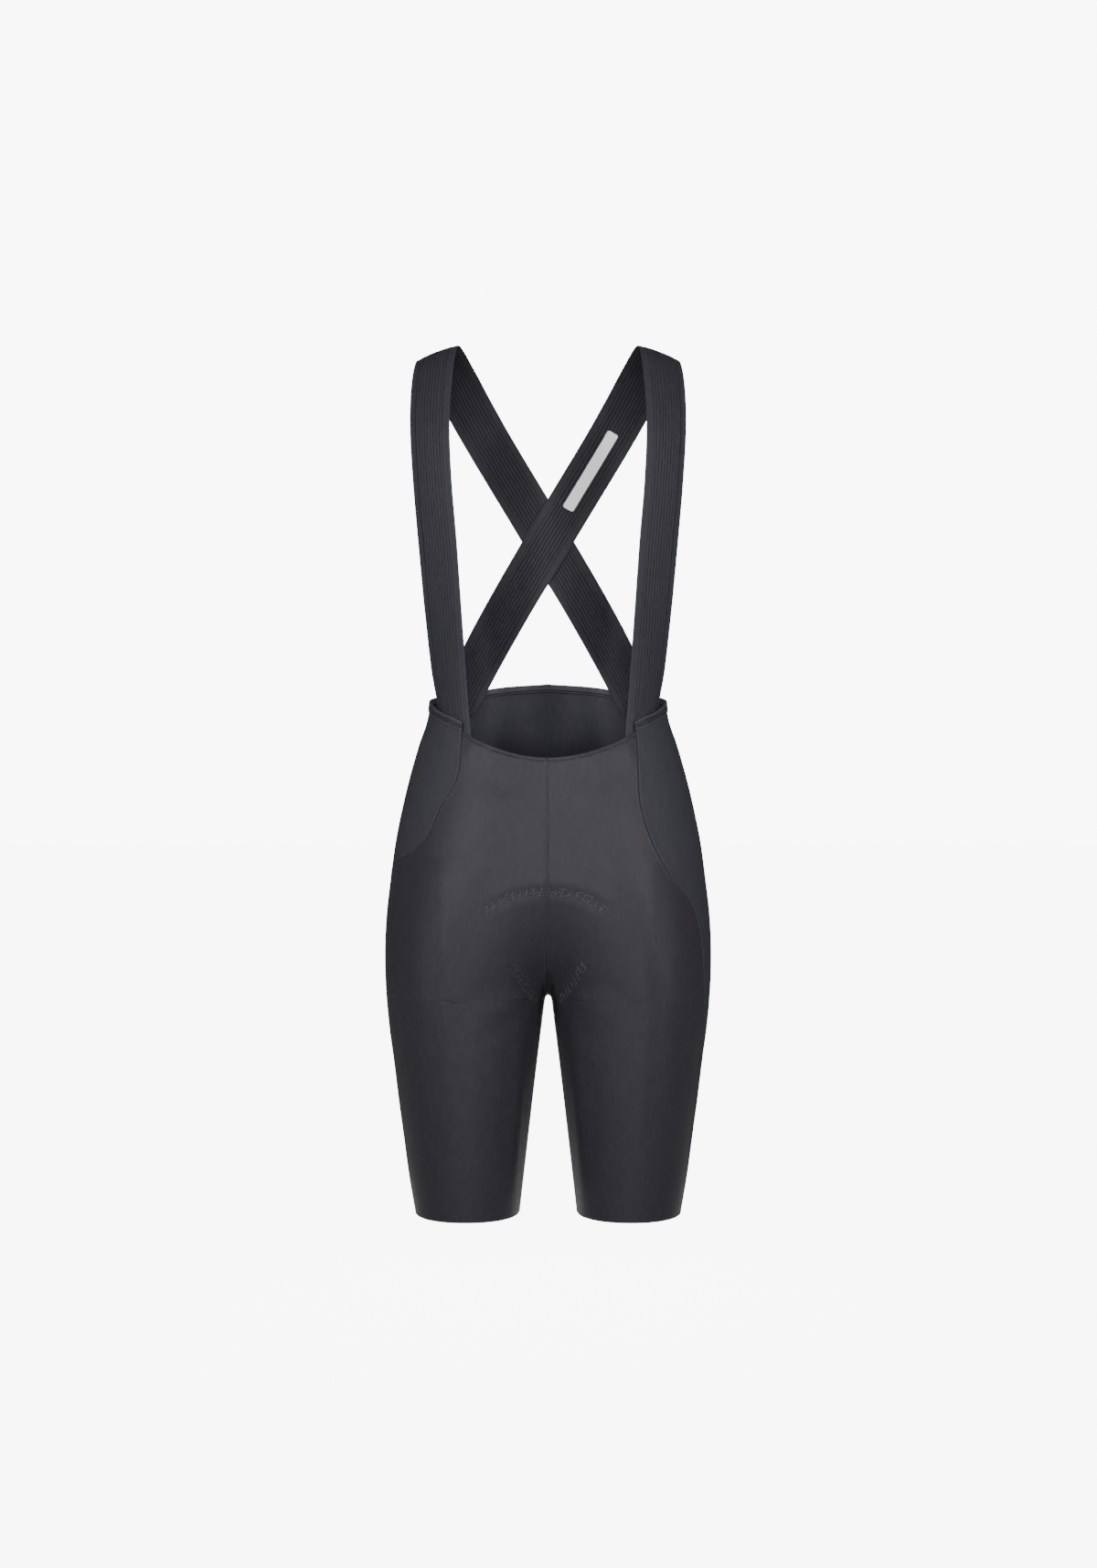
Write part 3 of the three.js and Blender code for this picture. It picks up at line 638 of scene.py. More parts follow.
def zone_points(path, is_back, offset, step):
    """Rows of points beside a path on the surface, the distance along it, and their outward normals."""
    places, ways, along = path_frames(path, step)
    out = surface_normals(places, is_back)
    side = np.cross(ways, out)
    points = places[:, None] + side[:, None] * np.asarray(offset)[None, :, None]
    flat = points.reshape(-1, 3)
    flat = surface_path(np.stack([flat[:, 0], -flat[:, 2]], 1), is_back)
    normals = surface_normals(flat, is_back)
    points = flat.reshape(points.shape)
    lift = sum(crease_lift(points, side, is_back) for side in (-1, 1)) + pad_lift(points, is_back)
    return points + normals.reshape(points.shape) * lift[..., None], along, normals.reshape(points.shape)


def add_stitch_zone(name, path, is_back, material):
    """The puckered cloth along one of the pad's stitch lines, as a fine strip laid into the panel."""
    offset = np.arange(-ZONE_HALF_WIDTH, ZONE_HALF_WIDTH + 0.01, ZONE_STEP)
    points, along, normals = zone_points(path, is_back, offset, ZONE_STEP)
    along = along[:, None]
    relief = ZONE_PROUD + 0.08 * np.sin(1.3 * along + 0.9 * offset) * np.sin(0.47 * along - 1.1 * offset)
    for row in STITCH_ROWS:
        turns = along / DIMPLE_PITCH + wobble(along, row)
        dent = 0.5 - 0.5 * np.cos(2 * np.pi * turns)
        relief = relief - DIMPLE_DEPTH * dent * np.exp(-(((offset - row) / DIMPLE_WIDTH) ** 2))
    edge = np.clip((np.abs(offset) - ZONE_HALF_WIDTH + 1) / 1, 0, 1)
    ends = np.clip(1 - np.minimum(along, along[-1] - along) / 1.5, 0, 1)
    relief = relief - (ZONE_UNDER + relief) * np.maximum(edge, ends) ** 2
    outer = points + normals * relief[..., None]
    inner = points - normals * (ZONE_UNDER + 0.2)
    rows, columns = relief.shape
    uv = np.stack([offset + 0 * along, along + 0 * offset], -1).reshape(-1, 2)
    both = np.concatenate([outer.reshape(-1, 3), inner.reshape(-1, 3)])
    piece = make_mesh(name, both, shell_faces(rows, columns, False), material, np.vstack([uv, uv]))
    return turn_outward(piece)


# Waist binding: profile and stitch grooves, as shares of its height from the top
GROOVES = (0.37, 0.57, 0.77)
GROOVE_DEPTH, GROOVE_WIDTH = 0.5, 0.055
INNER_GROOVE = 0.72
BINDING_STATIONS = 160
BINDING_FOLD = 0.12
BINDING_HEIGHT = 9
BINDING_TAPER = 0.06


def binding_profile():
    """Out and down places round the folded band, from its outer lower edge over the top."""
    outside = BINDING_CLOTH + BINDING_GAP
    inside = -CLOTH_THICKNESS - BINDING_GAP - BINDING_CLOTH
    middle, half = (outside + inside) / 2, (outside - inside) / 2
    down = np.linspace(0.98, 0.08, 46)
    cut = sum(np.exp(-(((down - groove) / GROOVE_WIDTH) ** 2)) for groove in GROOVES)
    swell = 0.18 * np.sin(np.pi * down) ** 0.5
    profile = [(outside - 0.25, 1.0)]
    profile += list(zip(outside + swell - GROOVE_DEPTH * cut, down))
    turn = np.linspace(0, np.pi, 9)[1:-1]
    profile += list(zip(middle + half * np.cos(turn), 0.06 * (1 - np.sin(turn))))
    down = np.linspace(0.08, 0.98, 24)
    cut = 0.18 * np.exp(-(((down - INNER_GROOVE) / GROOVE_WIDTH) ** 2))
    profile += list(zip(inside + cut, down))
    profile += [(inside + 0.25, 1.0), (inside + BINDING_CLOTH, 1.0), (inside + BINDING_CLOTH, BINDING_FOLD)]
    profile += [(outside - BINDING_CLOTH, BINDING_FOLD), (outside - BINDING_CLOTH, 1.0)]
    return np.array(profile)


def band_points(side, seam, share, out, down):
    """Points of the waist band: share from side seam to centre back, out from the cloth, down its height."""
    share, out, down = np.broadcast_arrays(*[np.asarray(v, float) for v in (share, out, down)])
    share, out, down = share.ravel(), out.ravel(), down.ravel()
    height = read(WAISTLINE, "share", "height", share)
    drop = read(WAISTLINE, "share", "drop", share) + down * height

    def place(drop, turn):
        section = half_sections(drop)
        start, stop = panel_limits(section, seam, False)
        angle = angles_at(section, start, stop, share, 0)[0] + turn
        return section_points(section, np.minimum(angle, stop))

    here = place(drop, 0)
    round_way = place(drop, 0.004) - place(drop, -0.004)
    up = place(drop - 0.3, 0) - place(drop + 0.3, 0)
    normal = np.cross(round_way, up)
    at_centre = share > 0.9995
    normal[at_centre] = [0, 1, 0]
    normal /= np.linalg.norm(normal, axis=1, keepdims=True)
    points = here + normal * out[:, None]
    points[at_centre, 0] = 0
    return points * [side, 1, 1], normal * [side, 1, 1]


def add_binding(material):
    """The folded waist band from one strap base to the other."""
    profile = binding_profile()
    share = np.linspace(0, 1, BINDING_STATIONS) ** 1.3
    taper = np.clip(share / BINDING_TAPER, 0, 1)[:, None] ** 0.6
    middle = -CLOTH_THICKNESS / 2
    out = middle + (profile[:, 0] - middle) * (0.45 + 0.55 * taper)
    down = profile[:, 1] * (0.7 + 0.3 * taper) + 0.2 * (1 - taper)
    halves = []
    for side, seam in ((-1, SEAM_LEFT), (1, SEAM_RIGHT)):
        points = band_points(side, seam, share[:, None], out, down)[0]
        halves.append(points.reshape(BINDING_STATIONS, len(profile), 3))
    rings = np.concatenate([halves[0], halves[1][-2::-1]])
    steps = np.linalg.norm(np.diff(rings[:, 0], axis=0), axis=1)
    along = np.concatenate([[0], np.cumsum(steps)])
    around = BINDING_HEIGHT * profile[:, 1] * np.where(profile[:, 0] > middle, 1, -1)
    uv = np.stack(np.broadcast_arrays(around[None], along[:, None]), -1).reshape(-1, 2)
    return turn_outward(loft_mesh("waist_band", rings, material, uv))


# Straps
def strap_points(share, across, out, layer):
    """Points of the left strap and its outward normals at shares along it and across it."""
    share, across, out = np.broadcast_arrays(*[np.asarray(v, float) for v in (share, across, out)])
    place = share * (1 - BACK_CUT * (1 - across) / 2)
    path = np.stack([STRAP_RUN[name] for name in ("x", "y", "z")], 1)
    facing = np.stack([STRAP_RUN[name] for name in ("nx", "ny", "nz")], 1)
    form = np.stack([STRAP_RUN[name] for name in ("width", "curve")], 1)
    centre = catmull(path, place)
    along = catmull(path, np.minimum(place + 0.0001, 1)) - catmull(path, np.maximum(place - 0.0001, 0))
    along /= np.linalg.norm(along, axis=-1, keepdims=True)
    outward = catmull(facing, place)
    outward -= along * np.sum(outward * along, axis=-1, keepdims=True)
    outward /= np.linalg.norm(outward, axis=-1, keepdims=True)
    sideways = np.cross(along, outward)
    width, curve = np.moveaxis(catmull(form, place), -1, 0)
    offset = across * width * STRAP_HALF_WIDTH
    apart = np.exp(-(((centre[..., 2] + CROSSING_DROP) / CROSSING_SPAN) ** 2)) * (centre[..., 1] > 0)
    lift = out + layer * CROSSING_CLEARANCE * apart - curve * offset ** 2 / 2
    return centre + sideways * offset[..., None] + outward * lift[..., None], outward


STRAP_STATIONS = 420
RIB_POINTS = 8
RIB_BASE = 0.1
PLAIN_END = 9
STRAP_LENGTH = 930


def rib_relief(across):
    """Height of the ribs across a strap: wide rounded ribs between narrow grooves."""
    border = PLAIN_BORDER / STRAP_HALF_WIDTH
    place = (across + 1 - border) / (2 - 2 * border) * RIB_COUNT
    phase = np.abs(2 * (place - np.floor(place)) - 1)
    ribs = RIB_HEIGHT * (1 - phase ** 5) - RIB_BASE
    return np.where((place > 0) & (place < RIB_COUNT), ribs, RIB_HEIGHT / 2 - RIB_BASE)


def add_strap(name, side, material, inside_material):
    """One ribbed elastic strap with rounded borders, as a closed band whose inner face is duller."""
    border = PLAIN_BORDER / STRAP_HALF_WIDTH
    ribs = np.linspace(-1 + border, 1 - border, RIB_COUNT * RIB_POINTS + 1)
    edge = np.array([-1, -0.995, -0.985, -0.965, -0.93, -0.88, -0.82])
    across = np.concatenate([edge, ribs, -edge[::-1]])
    round_edge = np.sqrt(np.clip(1 - ((np.abs(across) - 0.965) / 0.035).clip(0) ** 2, 0, 1))
    share = np.linspace(0, 1, STRAP_STATIONS)[:, None]
    fade = np.clip((1 - share) * STRAP_LENGTH / PLAIN_END, 0, 1) ** 2
    relief = rib_relief(across) * fade + RIB_HEIGHT / 4 * (1 - fade)
    half = STRAP_THICKNESS / 2 * round_edge + relief * round_edge
    outer, _ = strap_points(share, across, half, -side)
    inner, _ = strap_points(share, across, -half * 0.9, -side)
    rings = np.concatenate([outer[:, :], inner[:, -2:0:-1]], axis=1) * [-side, 1, 1]
    steps = np.linalg.norm(np.diff(rings[:, len(across) // 2], axis=0), axis=1)
    along = np.concatenate([[0], np.cumsum(steps)])
    wide = np.concatenate([across, across[-2:0:-1]]) * STRAP_HALF_WIDTH
    uv = np.stack(np.broadcast_arrays(wide[None], along[:, None]), -1).reshape(-1, 2)
    piece = turn_outward(loft_mesh(name, rings, material, uv))
    piece.data.materials.append(inside_material)
    for face in piece.data.polygons:
        is_inside = all(corner % len(wide) >= len(across) for corner in face.vertices)
        face.material_index = int(is_inside)
    return piece


def add_label(material):
    """The blank label on the inner face of the right strap, with round corners and soft edges."""
    start, stop = LABEL_FROM / STRAP_STEPS, LABEL_TO / STRAP_STEPS
    middle_path, _ = strap_points(np.linspace(start, stop, 20), 0, 0, -1)
    length = np.linalg.norm(np.diff(middle_path, axis=0), axis=1).sum()
    half = LABEL_WIDTH / 2
    ends = LABEL_CORNER * (1 - np.cos(np.linspace(0, np.pi / 2, 9)))
    along = np.concatenate([ends, np.linspace(LABEL_CORNER, length - LABEL_CORNER, 60)[1:-1], length - ends[::-1]])
    from_end = np.minimum(along, length - along)
    corner = np.maximum(LABEL_CORNER - from_end, 0)
    width = half - LABEL_CORNER + np.sqrt(np.maximum(LABEL_CORNER ** 2 - corner ** 2, 0.01))
    columns = np.sin(np.linspace(-np.pi / 2, np.pi / 2, 25))
    across = width[:, None] * columns / STRAP_HALF_WIDTH
    edge = np.minimum(width[:, None] * (1 - np.abs(columns)), from_end[:, None])
    soft = LABEL_THICKNESS / 2 * (1 - np.clip(edge / 0.5, 0, 1)) ** 2
    near = -STRAP_THICKNESS / 2 - RIB_HEIGHT
    share = start + (stop - start) * (along[:, None] + LABEL_SKEW * across * STRAP_HALF_WIDTH) / length
    back, _ = strap_points(share, across, near + 0 * across, -1)
    face, _ = strap_points(share, across, near - LABEL_THICKNESS + soft, -1)
    points = np.concatenate([face.reshape(-1, 3), back.reshape(-1, 3)]) * [-1, 1, 1]
    rows, cols = across.shape
    uv = np.stack([across * STRAP_HALF_WIDTH, along[:, None] + 0 * across], -1).reshape(-1, 2)
    piece = make_mesh("label_strip", points, shell_faces(rows, cols, False), material, np.vstack([uv, uv]))
    return turn_outward(piece)


# Stitches
STITCH_SIDES = 6


def add_stitches(name, starts, stops, normals, radius, bulge, material):
    """Short threads from starts to stops, each bent out of the cloth, joined in one mesh."""
    starts, stops, normals = (np.asarray(v, float) for v in (starts, stops, normals))
    along = np.array([0, 0.12, 0.5, 0.88, 1])
    size = np.array([0.3, 0.85, 1, 0.85, 0.3]) * radius
    way = stops - starts
    side = np.cross(way, normals)
    side /= np.linalg.norm(side, axis=1, keepdims=True)
    rise = np.sin(np.pi * along) ** 0.6 * bulge
    centre = starts[:, None] + way[:, None] * along[:, None] + normals[:, None] * rise[:, None]
    turn = 2 * np.pi * np.arange(STITCH_SIDES) / STITCH_SIDES
    ring = side[:, None, None] * np.cos(turn)[:, None] + normals[:, None, None] * np.sin(turn)[:, None]
    points = centre[:, :, None] + ring * size[:, None, None]
    count = len(starts)
    index = np.arange(count * len(along) * STITCH_SIDES).reshape(count, len(along), STITCH_SIDES)
    nexts = np.roll(index, -1, axis=2)
    walls = np.stack([index[:, :-1], nexts[:, :-1], nexts[:, 1:], index[:, 1:]], -1).reshape(-1, 4)
    faces = walls.tolist() + index[:, 0, ::-1].tolist() + index[:, -1].tolist()
    return turn_outward(make_mesh(name, points.reshape(-1, 3), faces, material))


def path_frames(path, pitch):
    """Evenly spaced places on a path of close points, with the way along it there."""
    lengths = np.concatenate([[0], np.cumsum(np.linalg.norm(np.diff(path, axis=0), axis=1))])
    count = int(lengths[-1] / pitch)
    at = np.linspace(0, lengths[-1], count + 1)
    places = np.stack([np.interp(at, lengths, path[:, k]) for k in range(3)], 1)
    ways = np.gradient(places, axis=0)
    return places, ways / np.linalg.norm(ways, axis=1, keepdims=True), at


def surface_normals(points, is_back):
    """Outward normals of the surface at points on it."""
    x, drop = np.abs(points[:, 0]), -points[:, 2]
    step = 1.0
    low = np.maximum(x - step, 0)
    across = surface_at(x + step, drop, is_back) - surface_at(low, drop, is_back)
    down = surface_at(x, drop + step, is_back) - surface_at(x, drop - step, is_back)
    normal = np.cross(across, down)
    normal *= np.where(normal[:, 1:2] * (1 if is_back else -1) < 0, -1, 1)
    normal /= np.linalg.norm(normal, axis=1, keepdims=True)
    return normal * np.stack([np.sign(points[:, 0]), np.ones(len(x)), np.ones(len(x))], 1)


def pad_stitches():
    """Threads along the rows of the stitched zones, crossing to the next row now and then."""
    starts, stops, normals = [], [], []
    for is_back in (False, True):
        for path in pad_paths(is_back):
            points, along, out = zone_points(path, is_back, STITCH_ROWS, 0.3)
            for k, row in enumerate(STITCH_ROWS):
                turns = along / DIMPLE_PITCH + wobble(along, row)
                hole = np.floor(turns - 0.5)
                first = np.flatnonzero(np.diff(hole)) + 1
                after = np.minimum(first[:-1] + 6, len(along) - 1)
                starts.append(points[first[:-1], k])
                stops.append(points[after, k])
                normals.append(out[first[:-1], k])
                if k > 0:
                    before = np.minimum(first[:-1:2] + 7, len(along) - 1)
                    starts.append(points[first[:-1:2], k])
                    stops.append(points[before, k - 1])
                    normals.append(out[first[:-1:2], k])
    sunk = DIMPLE_DEPTH * 0.25
    starts, stops, normals = (np.vstack(values) for values in (starts, stops, normals))
    return starts - normals * sunk, stops - normals * sunk, normals


HOLE_LENGTH, HOLE_RADIUS = 1.9, 0.55


def hole_shade_plugs(starts, stops, normals):
    """Painted shade at the hole where each stitch goes into the cloth: a short dark plug lying in the surface."""
    way = stops - starts
    way /= np.linalg.norm(way, axis=1, keepdims=True)
    raised = starts + normals * HOLE_RADIUS * 0.2
    return raised - way * HOLE_LENGTH, raised, normals


BAND_STITCH, BAND_STITCH_GAP = 2.3, 0.7


def band_stitches():
    """Running stitches in the band's grooves."""
    starts, stops, normals = [], [], []
    out = BINDING_CLOTH + BINDING_GAP - GROOVE_DEPTH * 0.75
    for side, seam in ((-1, SEAM_LEFT), (1, SEAM_RIGHT)):
        for groove in GROOVES:
            path, normal = band_points(side, seam, np.linspace(0.004, 1, 400), out, groove)
            lengths = np.concatenate([[0], np.cumsum(np.linalg.norm(np.diff(path, axis=0), axis=1))])
            first = np.arange(0.3, lengths[-1] - BAND_STITCH, BAND_STITCH + BAND_STITCH_GAP)
            for at, kept in ((first, starts), (first + BAND_STITCH, stops)):
                kept.append(np.stack([np.interp(at, lengths, path[:, k]) for k in range(3)], 1))
            normals.append(np.stack([np.interp(first, lengths, normal[:, k]) for k in range(3)], 1))
    return np.vstack(starts), np.vstack(stops), np.vstack(normals)


STRAP_ROWS = (3.2, 7.0)


def strap_stitches():
    """Two rows of stitches across the inner face of each strap's back end."""
    starts, stops, normals = [], [], []
    count = 15
    across = np.linspace(-0.93, 0.93, 2 * count)
    for side in (-1, 1):
        for row in STRAP_ROWS:
            out = -STRAP_THICKNESS / 2 - RIB_HEIGHT / 4
            points, outward = strap_points(1 - row / STRAP_LENGTH, across, out, -side)
            starts.append(points[::2] * [-side, 1, 1])
            stops.append(points[1::2] * [-side, 1, 1])
            normals.append(-outward[::2] * [-side, 1, 1])
    return np.vstack(starts), np.vstack(stops), np.vstack(normals)


# Materials
def shade_line(tree, place, centre, width, dark):
    """Shade that is dark at a centre of a coordinate, in millimetres, and 1 further off than a width."""
    off = tree.nodes.new("ShaderNodeMath")
    off.operation = "SUBTRACT"
    off.inputs[1].default_value = centre * MM
    gap = tree.nodes.new("ShaderNodeMath")
    gap.operation = "ABSOLUTE"
    shade = tree.nodes.new("ShaderNodeMapRange")
    shade.inputs["From Max"].default_value = width * MM
    shade.inputs["To Min"].default_value = dark
    tree.links.new(place, off.inputs[0])
    tree.links.new(off.outputs["Value"], gap.inputs[0])
    tree.links.new(gap.outputs["Value"], shade.inputs["Value"])
    return shade.outputs["Result"]


def cloth_material(name, color, roughness, wale, course, bump, mottle=0.1, specular=0.2, shade_lines=(), dark=0.4):
    """Knit cloth: rows and columns of fine loops in a bump, painted shade in the gaps between the loops, uneven
    dye and gloss, and lines of painted groove shade along it.
    """
    material = bpy.data.materials.new(name)
    material.use_nodes = True
    nodes, links = material.node_tree.nodes, material.node_tree.links
    shader = nodes["Principled BSDF"]
    place = nodes.new("ShaderNodeUVMap")
    place.uv_map = "cloth"
    waves = []
    for axis, pitch in (("X", wale), ("Y", course)):
        wave = nodes.new("ShaderNodeTexWave")
        wave.wave_type = "BANDS"
        wave.bands_direction = axis
        wave.inputs["Scale"].default_value = 0.314 / (pitch * MM)
        wave.inputs["Distortion"].default_value = 0.6
        wave.inputs["Detail"].default_value = 1
        wave.inputs["Detail Scale"].default_value = 2
        links.new(place.outputs["UV"], wave.inputs["Vector"])
        waves.append(wave)
    loops = nodes.new("ShaderNodeMath")
    loops.operation = "MULTIPLY"
    for i, wave in enumerate(waves):
        links.new(wave.outputs["Fac"], loops.inputs[i])
    height = nodes.new("ShaderNodeBump")
    height.inputs["Strength"].default_value = 1
    height.inputs["Distance"].default_value = bump * MM
    links.new(loops.outputs["Value"], height.inputs["Height"])
    links.new(height.outputs["Normal"], shader.inputs["Normal"])
    dye = nodes.new("ShaderNodeTexNoise")
    dye.inputs["Scale"].default_value = 38
    dye.inputs["Detail"].default_value = 5
    dye.inputs["Roughness"].default_value = 0.7
    ramp = nodes.new("ShaderNodeValToRGB")
    ramp.color_ramp.elements[0].position = 0.3
    ramp.color_ramp.elements[1].position = 0.7
    ramp.color_ramp.elements[0].color = [c * (1 - mottle) for c in color] + [1]
    ramp.color_ramp.elements[1].color = [c * (1 + mottle) for c in color] + [1]
    links.new(dye.outputs["Fac"], ramp.inputs["Fac"])
    # Painted shade: the colour is darkened in the gaps between the knit's loops, where the loop height is low.
    gaps = nodes.new("ShaderNodeMix")
    gaps.data_type = "RGBA"
    gaps.blend_type = "MULTIPLY"
    gaps.inputs[0].default_value = 0.35
    links.new(ramp.outputs["Color"], gaps.inputs[6])
    links.new(loops.outputs["Value"], gaps.inputs[7])
    shaded = gaps.outputs[2]
    split = nodes.new("ShaderNodeSeparateXYZ")
    links.new(place.outputs["UV"], split.inputs["Vector"])
    # Each line darkens the colour: painted shade along a groove.
    for centre, width in shade_lines:
        shade = shade_line(material.node_tree, split.outputs["X"], centre, width, dark)
        darker = nodes.new("ShaderNodeVectorMath")
        darker.operation = "SCALE"
        links.new(shaded, darker.inputs["Vector"])
        links.new(shade, darker.inputs["Scale"])
        shaded = darker.outputs["Vector"]
    links.new(shaded, shader.inputs["Base Color"])
    gloss = nodes.new("ShaderNodeMapRange")
    gloss.inputs["To Min"].default_value = roughness - 0.05
    gloss.inputs["To Max"].default_value = roughness + 0.05
    links.new(dye.outputs["Fac"], gloss.inputs["Value"])
    links.new(gloss.outputs["Result"], shader.inputs["Roughness"])
    shader.inputs["Specular IOR Level"].default_value = specular
    return material


def thread_material(name, color):
    """Sewing thread with a slight shine, its colour broken by a fine noise into painted glints and dark specks."""
    material = bpy.data.materials.new(name)
    material.use_nodes = True
    nodes, links = material.node_tree.nodes, material.node_tree.links
    shader = nodes["Principled BSDF"]
    # Painted glints: a fine noise lifts the thread's colour to 3.5 times in bright specks and drops it to 0.15
    # times in dark ones.
    glint_speckle = nodes.new("ShaderNodeTexNoise")
    glint_speckle.inputs["Scale"].default_value = 420
    ramp = nodes.new("ShaderNodeValToRGB")
    ramp.color_ramp.elements[0].position = 0.48
    ramp.color_ramp.elements[1].position = 0.6
    ramp.color_ramp.elements[0].color = [c * 0.15 for c in color] + [1]
    ramp.color_ramp.elements[1].color = [c * 3.5 for c in color] + [1]
    links.new(glint_speckle.outputs["Fac"], ramp.inputs["Fac"])
    links.new(ramp.outputs["Color"], shader.inputs["Base Color"])
    shader.inputs["Roughness"].default_value = 0.42
    return material


# Painted shade: dark lines in the colour along the grooves between the strap's ribs, along the band's stitch
# grooves and its inner groove, and a painted shadow along the band's lower inner edge.
rib_zone = STRAP_HALF_WIDTH - PLAIN_BORDER
rib_groove_shade = [(place, 0.8) for place in np.linspace(-rib_zone, rib_zone, RIB_COUNT + 1)]
band_groove_and_edge_shade = [(BINDING_HEIGHT * groove, 0.85) for groove in GROOVES]
band_groove_and_edge_shade += [(-BINDING_HEIGHT * INNER_GROOVE, 1.2), (-BINDING_HEIGHT, 1.6)]
front_cloth = cloth_material("front_cloth", (0.0306, 0.0291, 0.0366), 0.4, 0.62, 0.5, 0.05, specular=0.13)
back_cloth = cloth_material("back_cloth", (0.04, 0.04, 0.0486), 0.6, 0.7, 0.55, 0.06, specular=0.09)
elastic = cloth_material("elastic", (0.0345, 0.0345, 0.044), 0.55, 0.8, 0.9, 0.05, specular=0.12,
                         shade_lines=rib_groove_shade, dark=0.3)
elastic_inside = cloth_material("elastic_inside", (0.0255, 0.0255, 0.032), 0.6, 0.8, 0.9, 0.05, specular=0.12,
                                shade_lines=rib_groove_shade, dark=0.3)
band_cloth = cloth_material("band", (0.05, 0.05, 0.062), 0.55, 0.8, 0.9, 0.05, specular=0.12,
                            shade_lines=band_groove_and_edge_shade, dark=0.1)
label_cloth = cloth_material("label", (0.93, 0.93, 0.93), 0.4, 0.35, 0.35, 0.03, 0.02)
pad_thread = thread_material("pad_thread", (0.032, 0.032, 0.036))
# Dark thread for the band and strap stitches, also used for the painted shade plugs at the pad's needle holes.
dark_thread_and_hole_shade = thread_material("dark_thread_and_hole_shade", (0.007, 0.007, 0.008))

# The pieces, each with its CAD node
PIECES = []


def declare(piece, node):
    """The piece rides on the root and stands for its CAD node, whose part is hidden."""
    PIECES.append(piece)
    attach(piece, "root")
    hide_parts(node)


front_left = add_panel("front_panel_left_cloth", -1, SEAM_LEFT, True, front_cloth)
front_right = add_panel("front_panel_right_cloth", 1, SEAM_RIGHT, True, front_cloth)
back_left = add_panel("back_panel_left_cloth", -1, SEAM_LEFT, False, back_cloth)
back_right = add_panel("back_panel_right_cloth", 1, SEAM_RIGHT, False, back_cloth)
band = add_binding(band_cloth)
strap_left = add_strap("strap_left_elastic", -1, elastic, elastic_inside)
strap_right = add_strap("strap_right_elastic", 1, elastic, elastic_inside)
label = add_label(label_cloth)
zones = [add_stitch_zone("pad_stitching_seat", pad_paths(True)[0], True, back_cloth)]
for name, path in zip(("arc", "left", "right"), pad_paths(False)):
    zones.append(add_stitch_zone(f"pad_stitching_{name}", path, False, front_cloth))
pad_places = pad_stitches()
pad_threads = add_stitches("pad_stitches", *pad_places, 0.3, 0.4, pad_thread)
# Painted shade: dark plugs of thread material lie at the needle holes, where shade falls.
pad_hole_shade = add_stitches("pad_painted_hole_shade", *hole_shade_plugs(*pad_places), HOLE_RADIUS, 0, dark_thread_and_hole_shade)
waist_thread = add_stitches("band_stitches", *band_stitches(), 0.2, 0.2, dark_thread_and_hole_shade)
end_thread = add_stitches("strap_end_stitches", *strap_stitches(), 0.25, 0.25, dark_thread_and_hole_shade)
for piece in (*zones, pad_threads, pad_hole_shade, waist_thread, end_thread):
    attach(piece, "root")

declare(front_left, "front_panel_left")
declare(front_right, "front_panel_right")
declare(back_left, "back_panel_left")
declare(back_right, "back_panel_right")
declare(band, "waist_binding")
declare(strap_left, "strap_left")
declare(strap_right, "strap_right")
declare(label, "strap_label")


# Camera, floor and light
camera_data = bpy.data.cameras.new("camera")
camera_data.sensor_width = SENSOR
camera_data.lens = SENSOR * CAMERA_DISTANCE / (PHOTO_HEIGHT * MM_PER_PIXEL)
camera = bpy.data.objects.new("camera", camera_data)
bpy.context.scene.collection.objects.link(camera)
camera.location = (0.0004, -CAMERA_DISTANCE * MM, -CAMERA_DROP * MM)
camera.rotation_euler = (math.pi / 2, 0, 0)
bpy.context.scene.camera = camera

FLOOR_DEPTH = -1.25
FLOOR_GLOW = 0.93
WORLD_LIGHT = 0.13
WORLD_SEEN = 9


def glow_for_camera(tree, plain, strength, share):
    """Mix a plain white glow, seen by the camera alone, into a shader."""
    glow = tree.nodes.new("ShaderNodeEmission")
    glow.inputs["Strength"].default_value = strength
    path = tree.nodes.new("ShaderNodeLightPath")
    part = tree.nodes.new("ShaderNodeMath")
    part.operation = "MULTIPLY"
    part.inputs[1].default_value = share
    mix = tree.nodes.new("ShaderNodeMixShader")
    tree.links.new(path.outputs["Is Camera Ray"], part.inputs[0])
    tree.links.new(part.outputs["Value"], mix.inputs["Fac"])
    tree.links.new(plain, mix.inputs[1])
    tree.links.new(glow.outputs["Emission"], mix.inputs[2])
    return mix.outputs["Shader"]


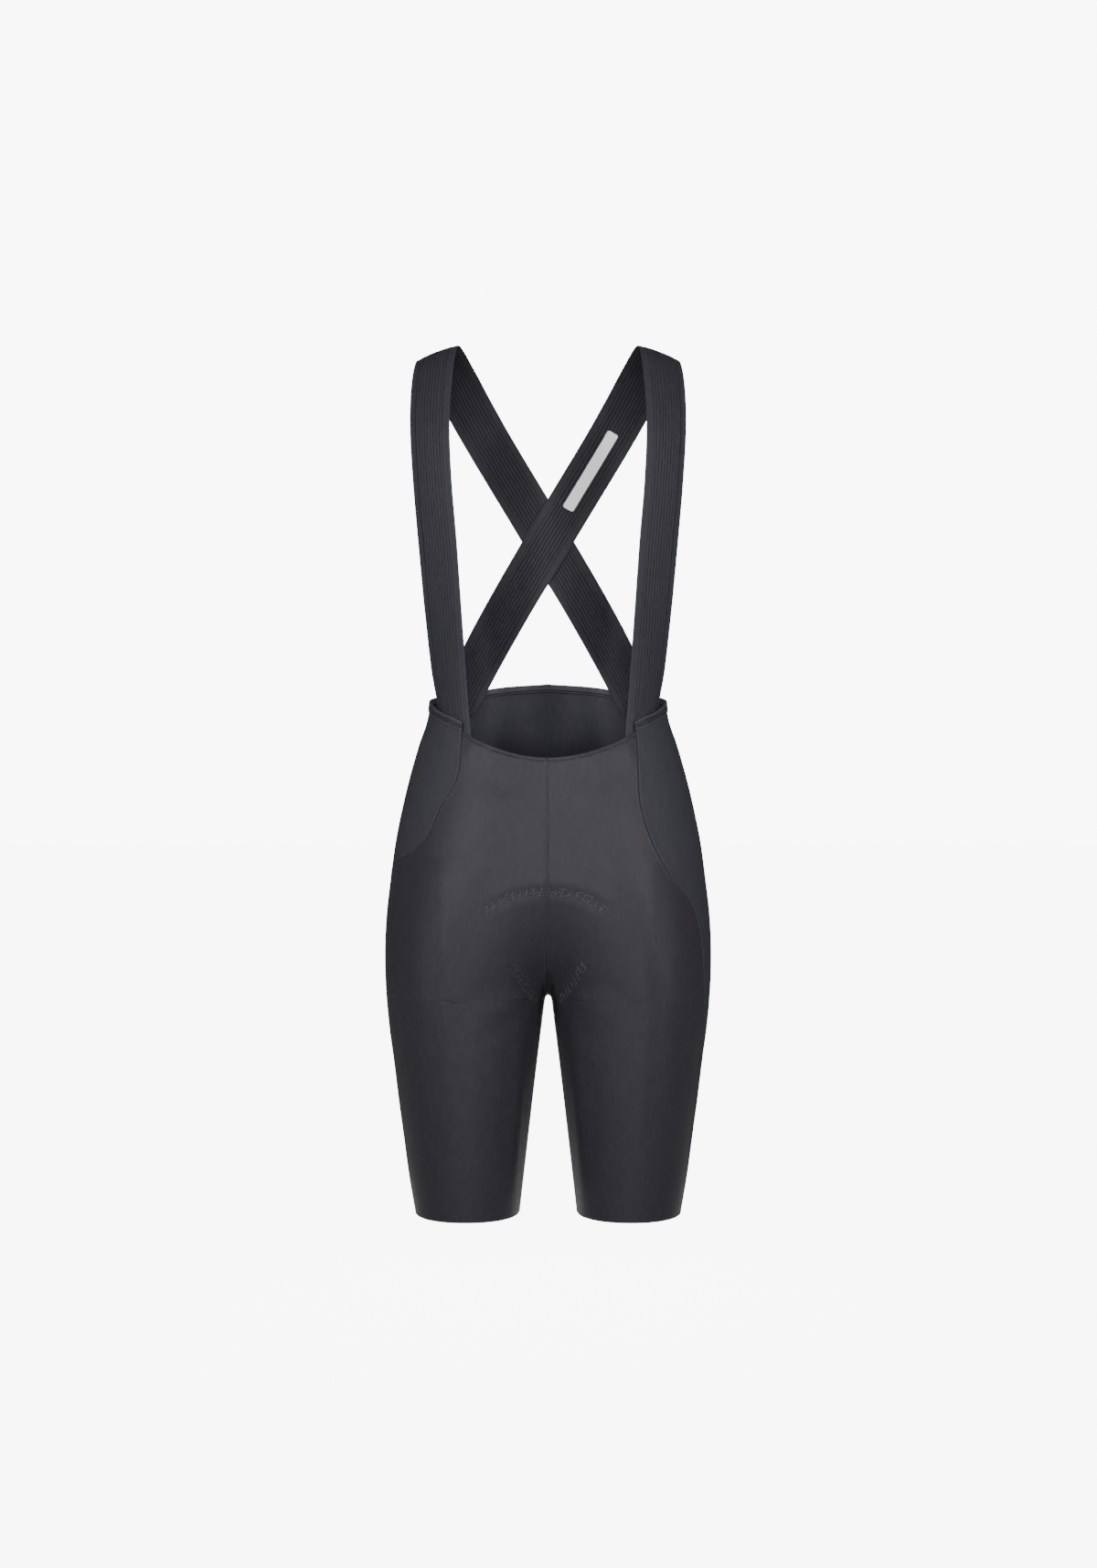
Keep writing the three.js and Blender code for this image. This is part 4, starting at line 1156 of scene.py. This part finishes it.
bpy.ops.mesh.primitive_plane_add(size=60, location=(0, 0, FLOOR_DEPTH))
floor = bpy.context.object
floor.name = "floor"
pale = bpy.data.materials.new("pale_floor")
pale.use_nodes = True
paint = pale.node_tree.nodes["Principled BSDF"]
paint.inputs["Base Color"].default_value = (0.9, 0.9, 0.9, 1)
paint.inputs["Roughness"].default_value = 0.9
seen = glow_for_camera(pale.node_tree, paint.outputs["BSDF"], WORLD_SEEN, FLOOR_GLOW)
pale.node_tree.links.new(seen, pale.node_tree.nodes["Material Output"].inputs["Surface"])
floor.data.materials.append(pale)

world = bpy.data.worlds.new("studio")
bpy.context.scene.world = world
world.use_nodes = True
sky = world.node_tree.nodes["Background"]
sky.inputs["Color"].default_value = (1, 1, 1, 1)
sky.inputs["Strength"].default_value = WORLD_LIGHT
seen = glow_for_camera(world.node_tree, sky.outputs["Background"], WORLD_SEEN, 1)
world.node_tree.links.new(seen, world.node_tree.nodes["World Output"].inputs["Surface"])

# Area lights: x y z, the point each looks at, its width and height in metres, its power and spread
LIGHTS = {
    "key": ((0, -1.5, 0.3), (0, 0, -0.15), 0.6, 0.3, 1.7, 60),
    "fill": ((0, -2.6, -0.5), (0, 0, -0.5), 1.4, 0.6, 31, 180),
    "strip_left": ((-1.25, -1.3, -0.08), (-0.1, 0, -0.46), 0.14, 0.6, 2.1, 55),
    "strip_right": ((1.25, -1.3, -0.08), (0.1, 0, -0.46), 0.14, 0.6, 2.1, 55),
    "back": ((0, 2, -0.6), (0, 0, -0.5), 0.5, 0.5, 50, 180),
    "top": ((0, -0.35, 1.2), (0, 0, -0.3), 0.5, 0.3, 1, 80),
}
for name, (place, target, width, height, power, spread) in LIGHTS.items():
    lamp = bpy.data.lights.new(name, "AREA")
    lamp.shape = "RECTANGLE"
    lamp.size, lamp.size_y, lamp.energy = width, height, power
    lamp.spread = math.radians(spread)
    light = bpy.data.objects.new(name, lamp)
    light.location = place
    light.rotation_euler = (Vector(target) - Vector(place)).to_track_quat("-Z", "Y").to_euler()
    bpy.context.scene.collection.objects.link(light)
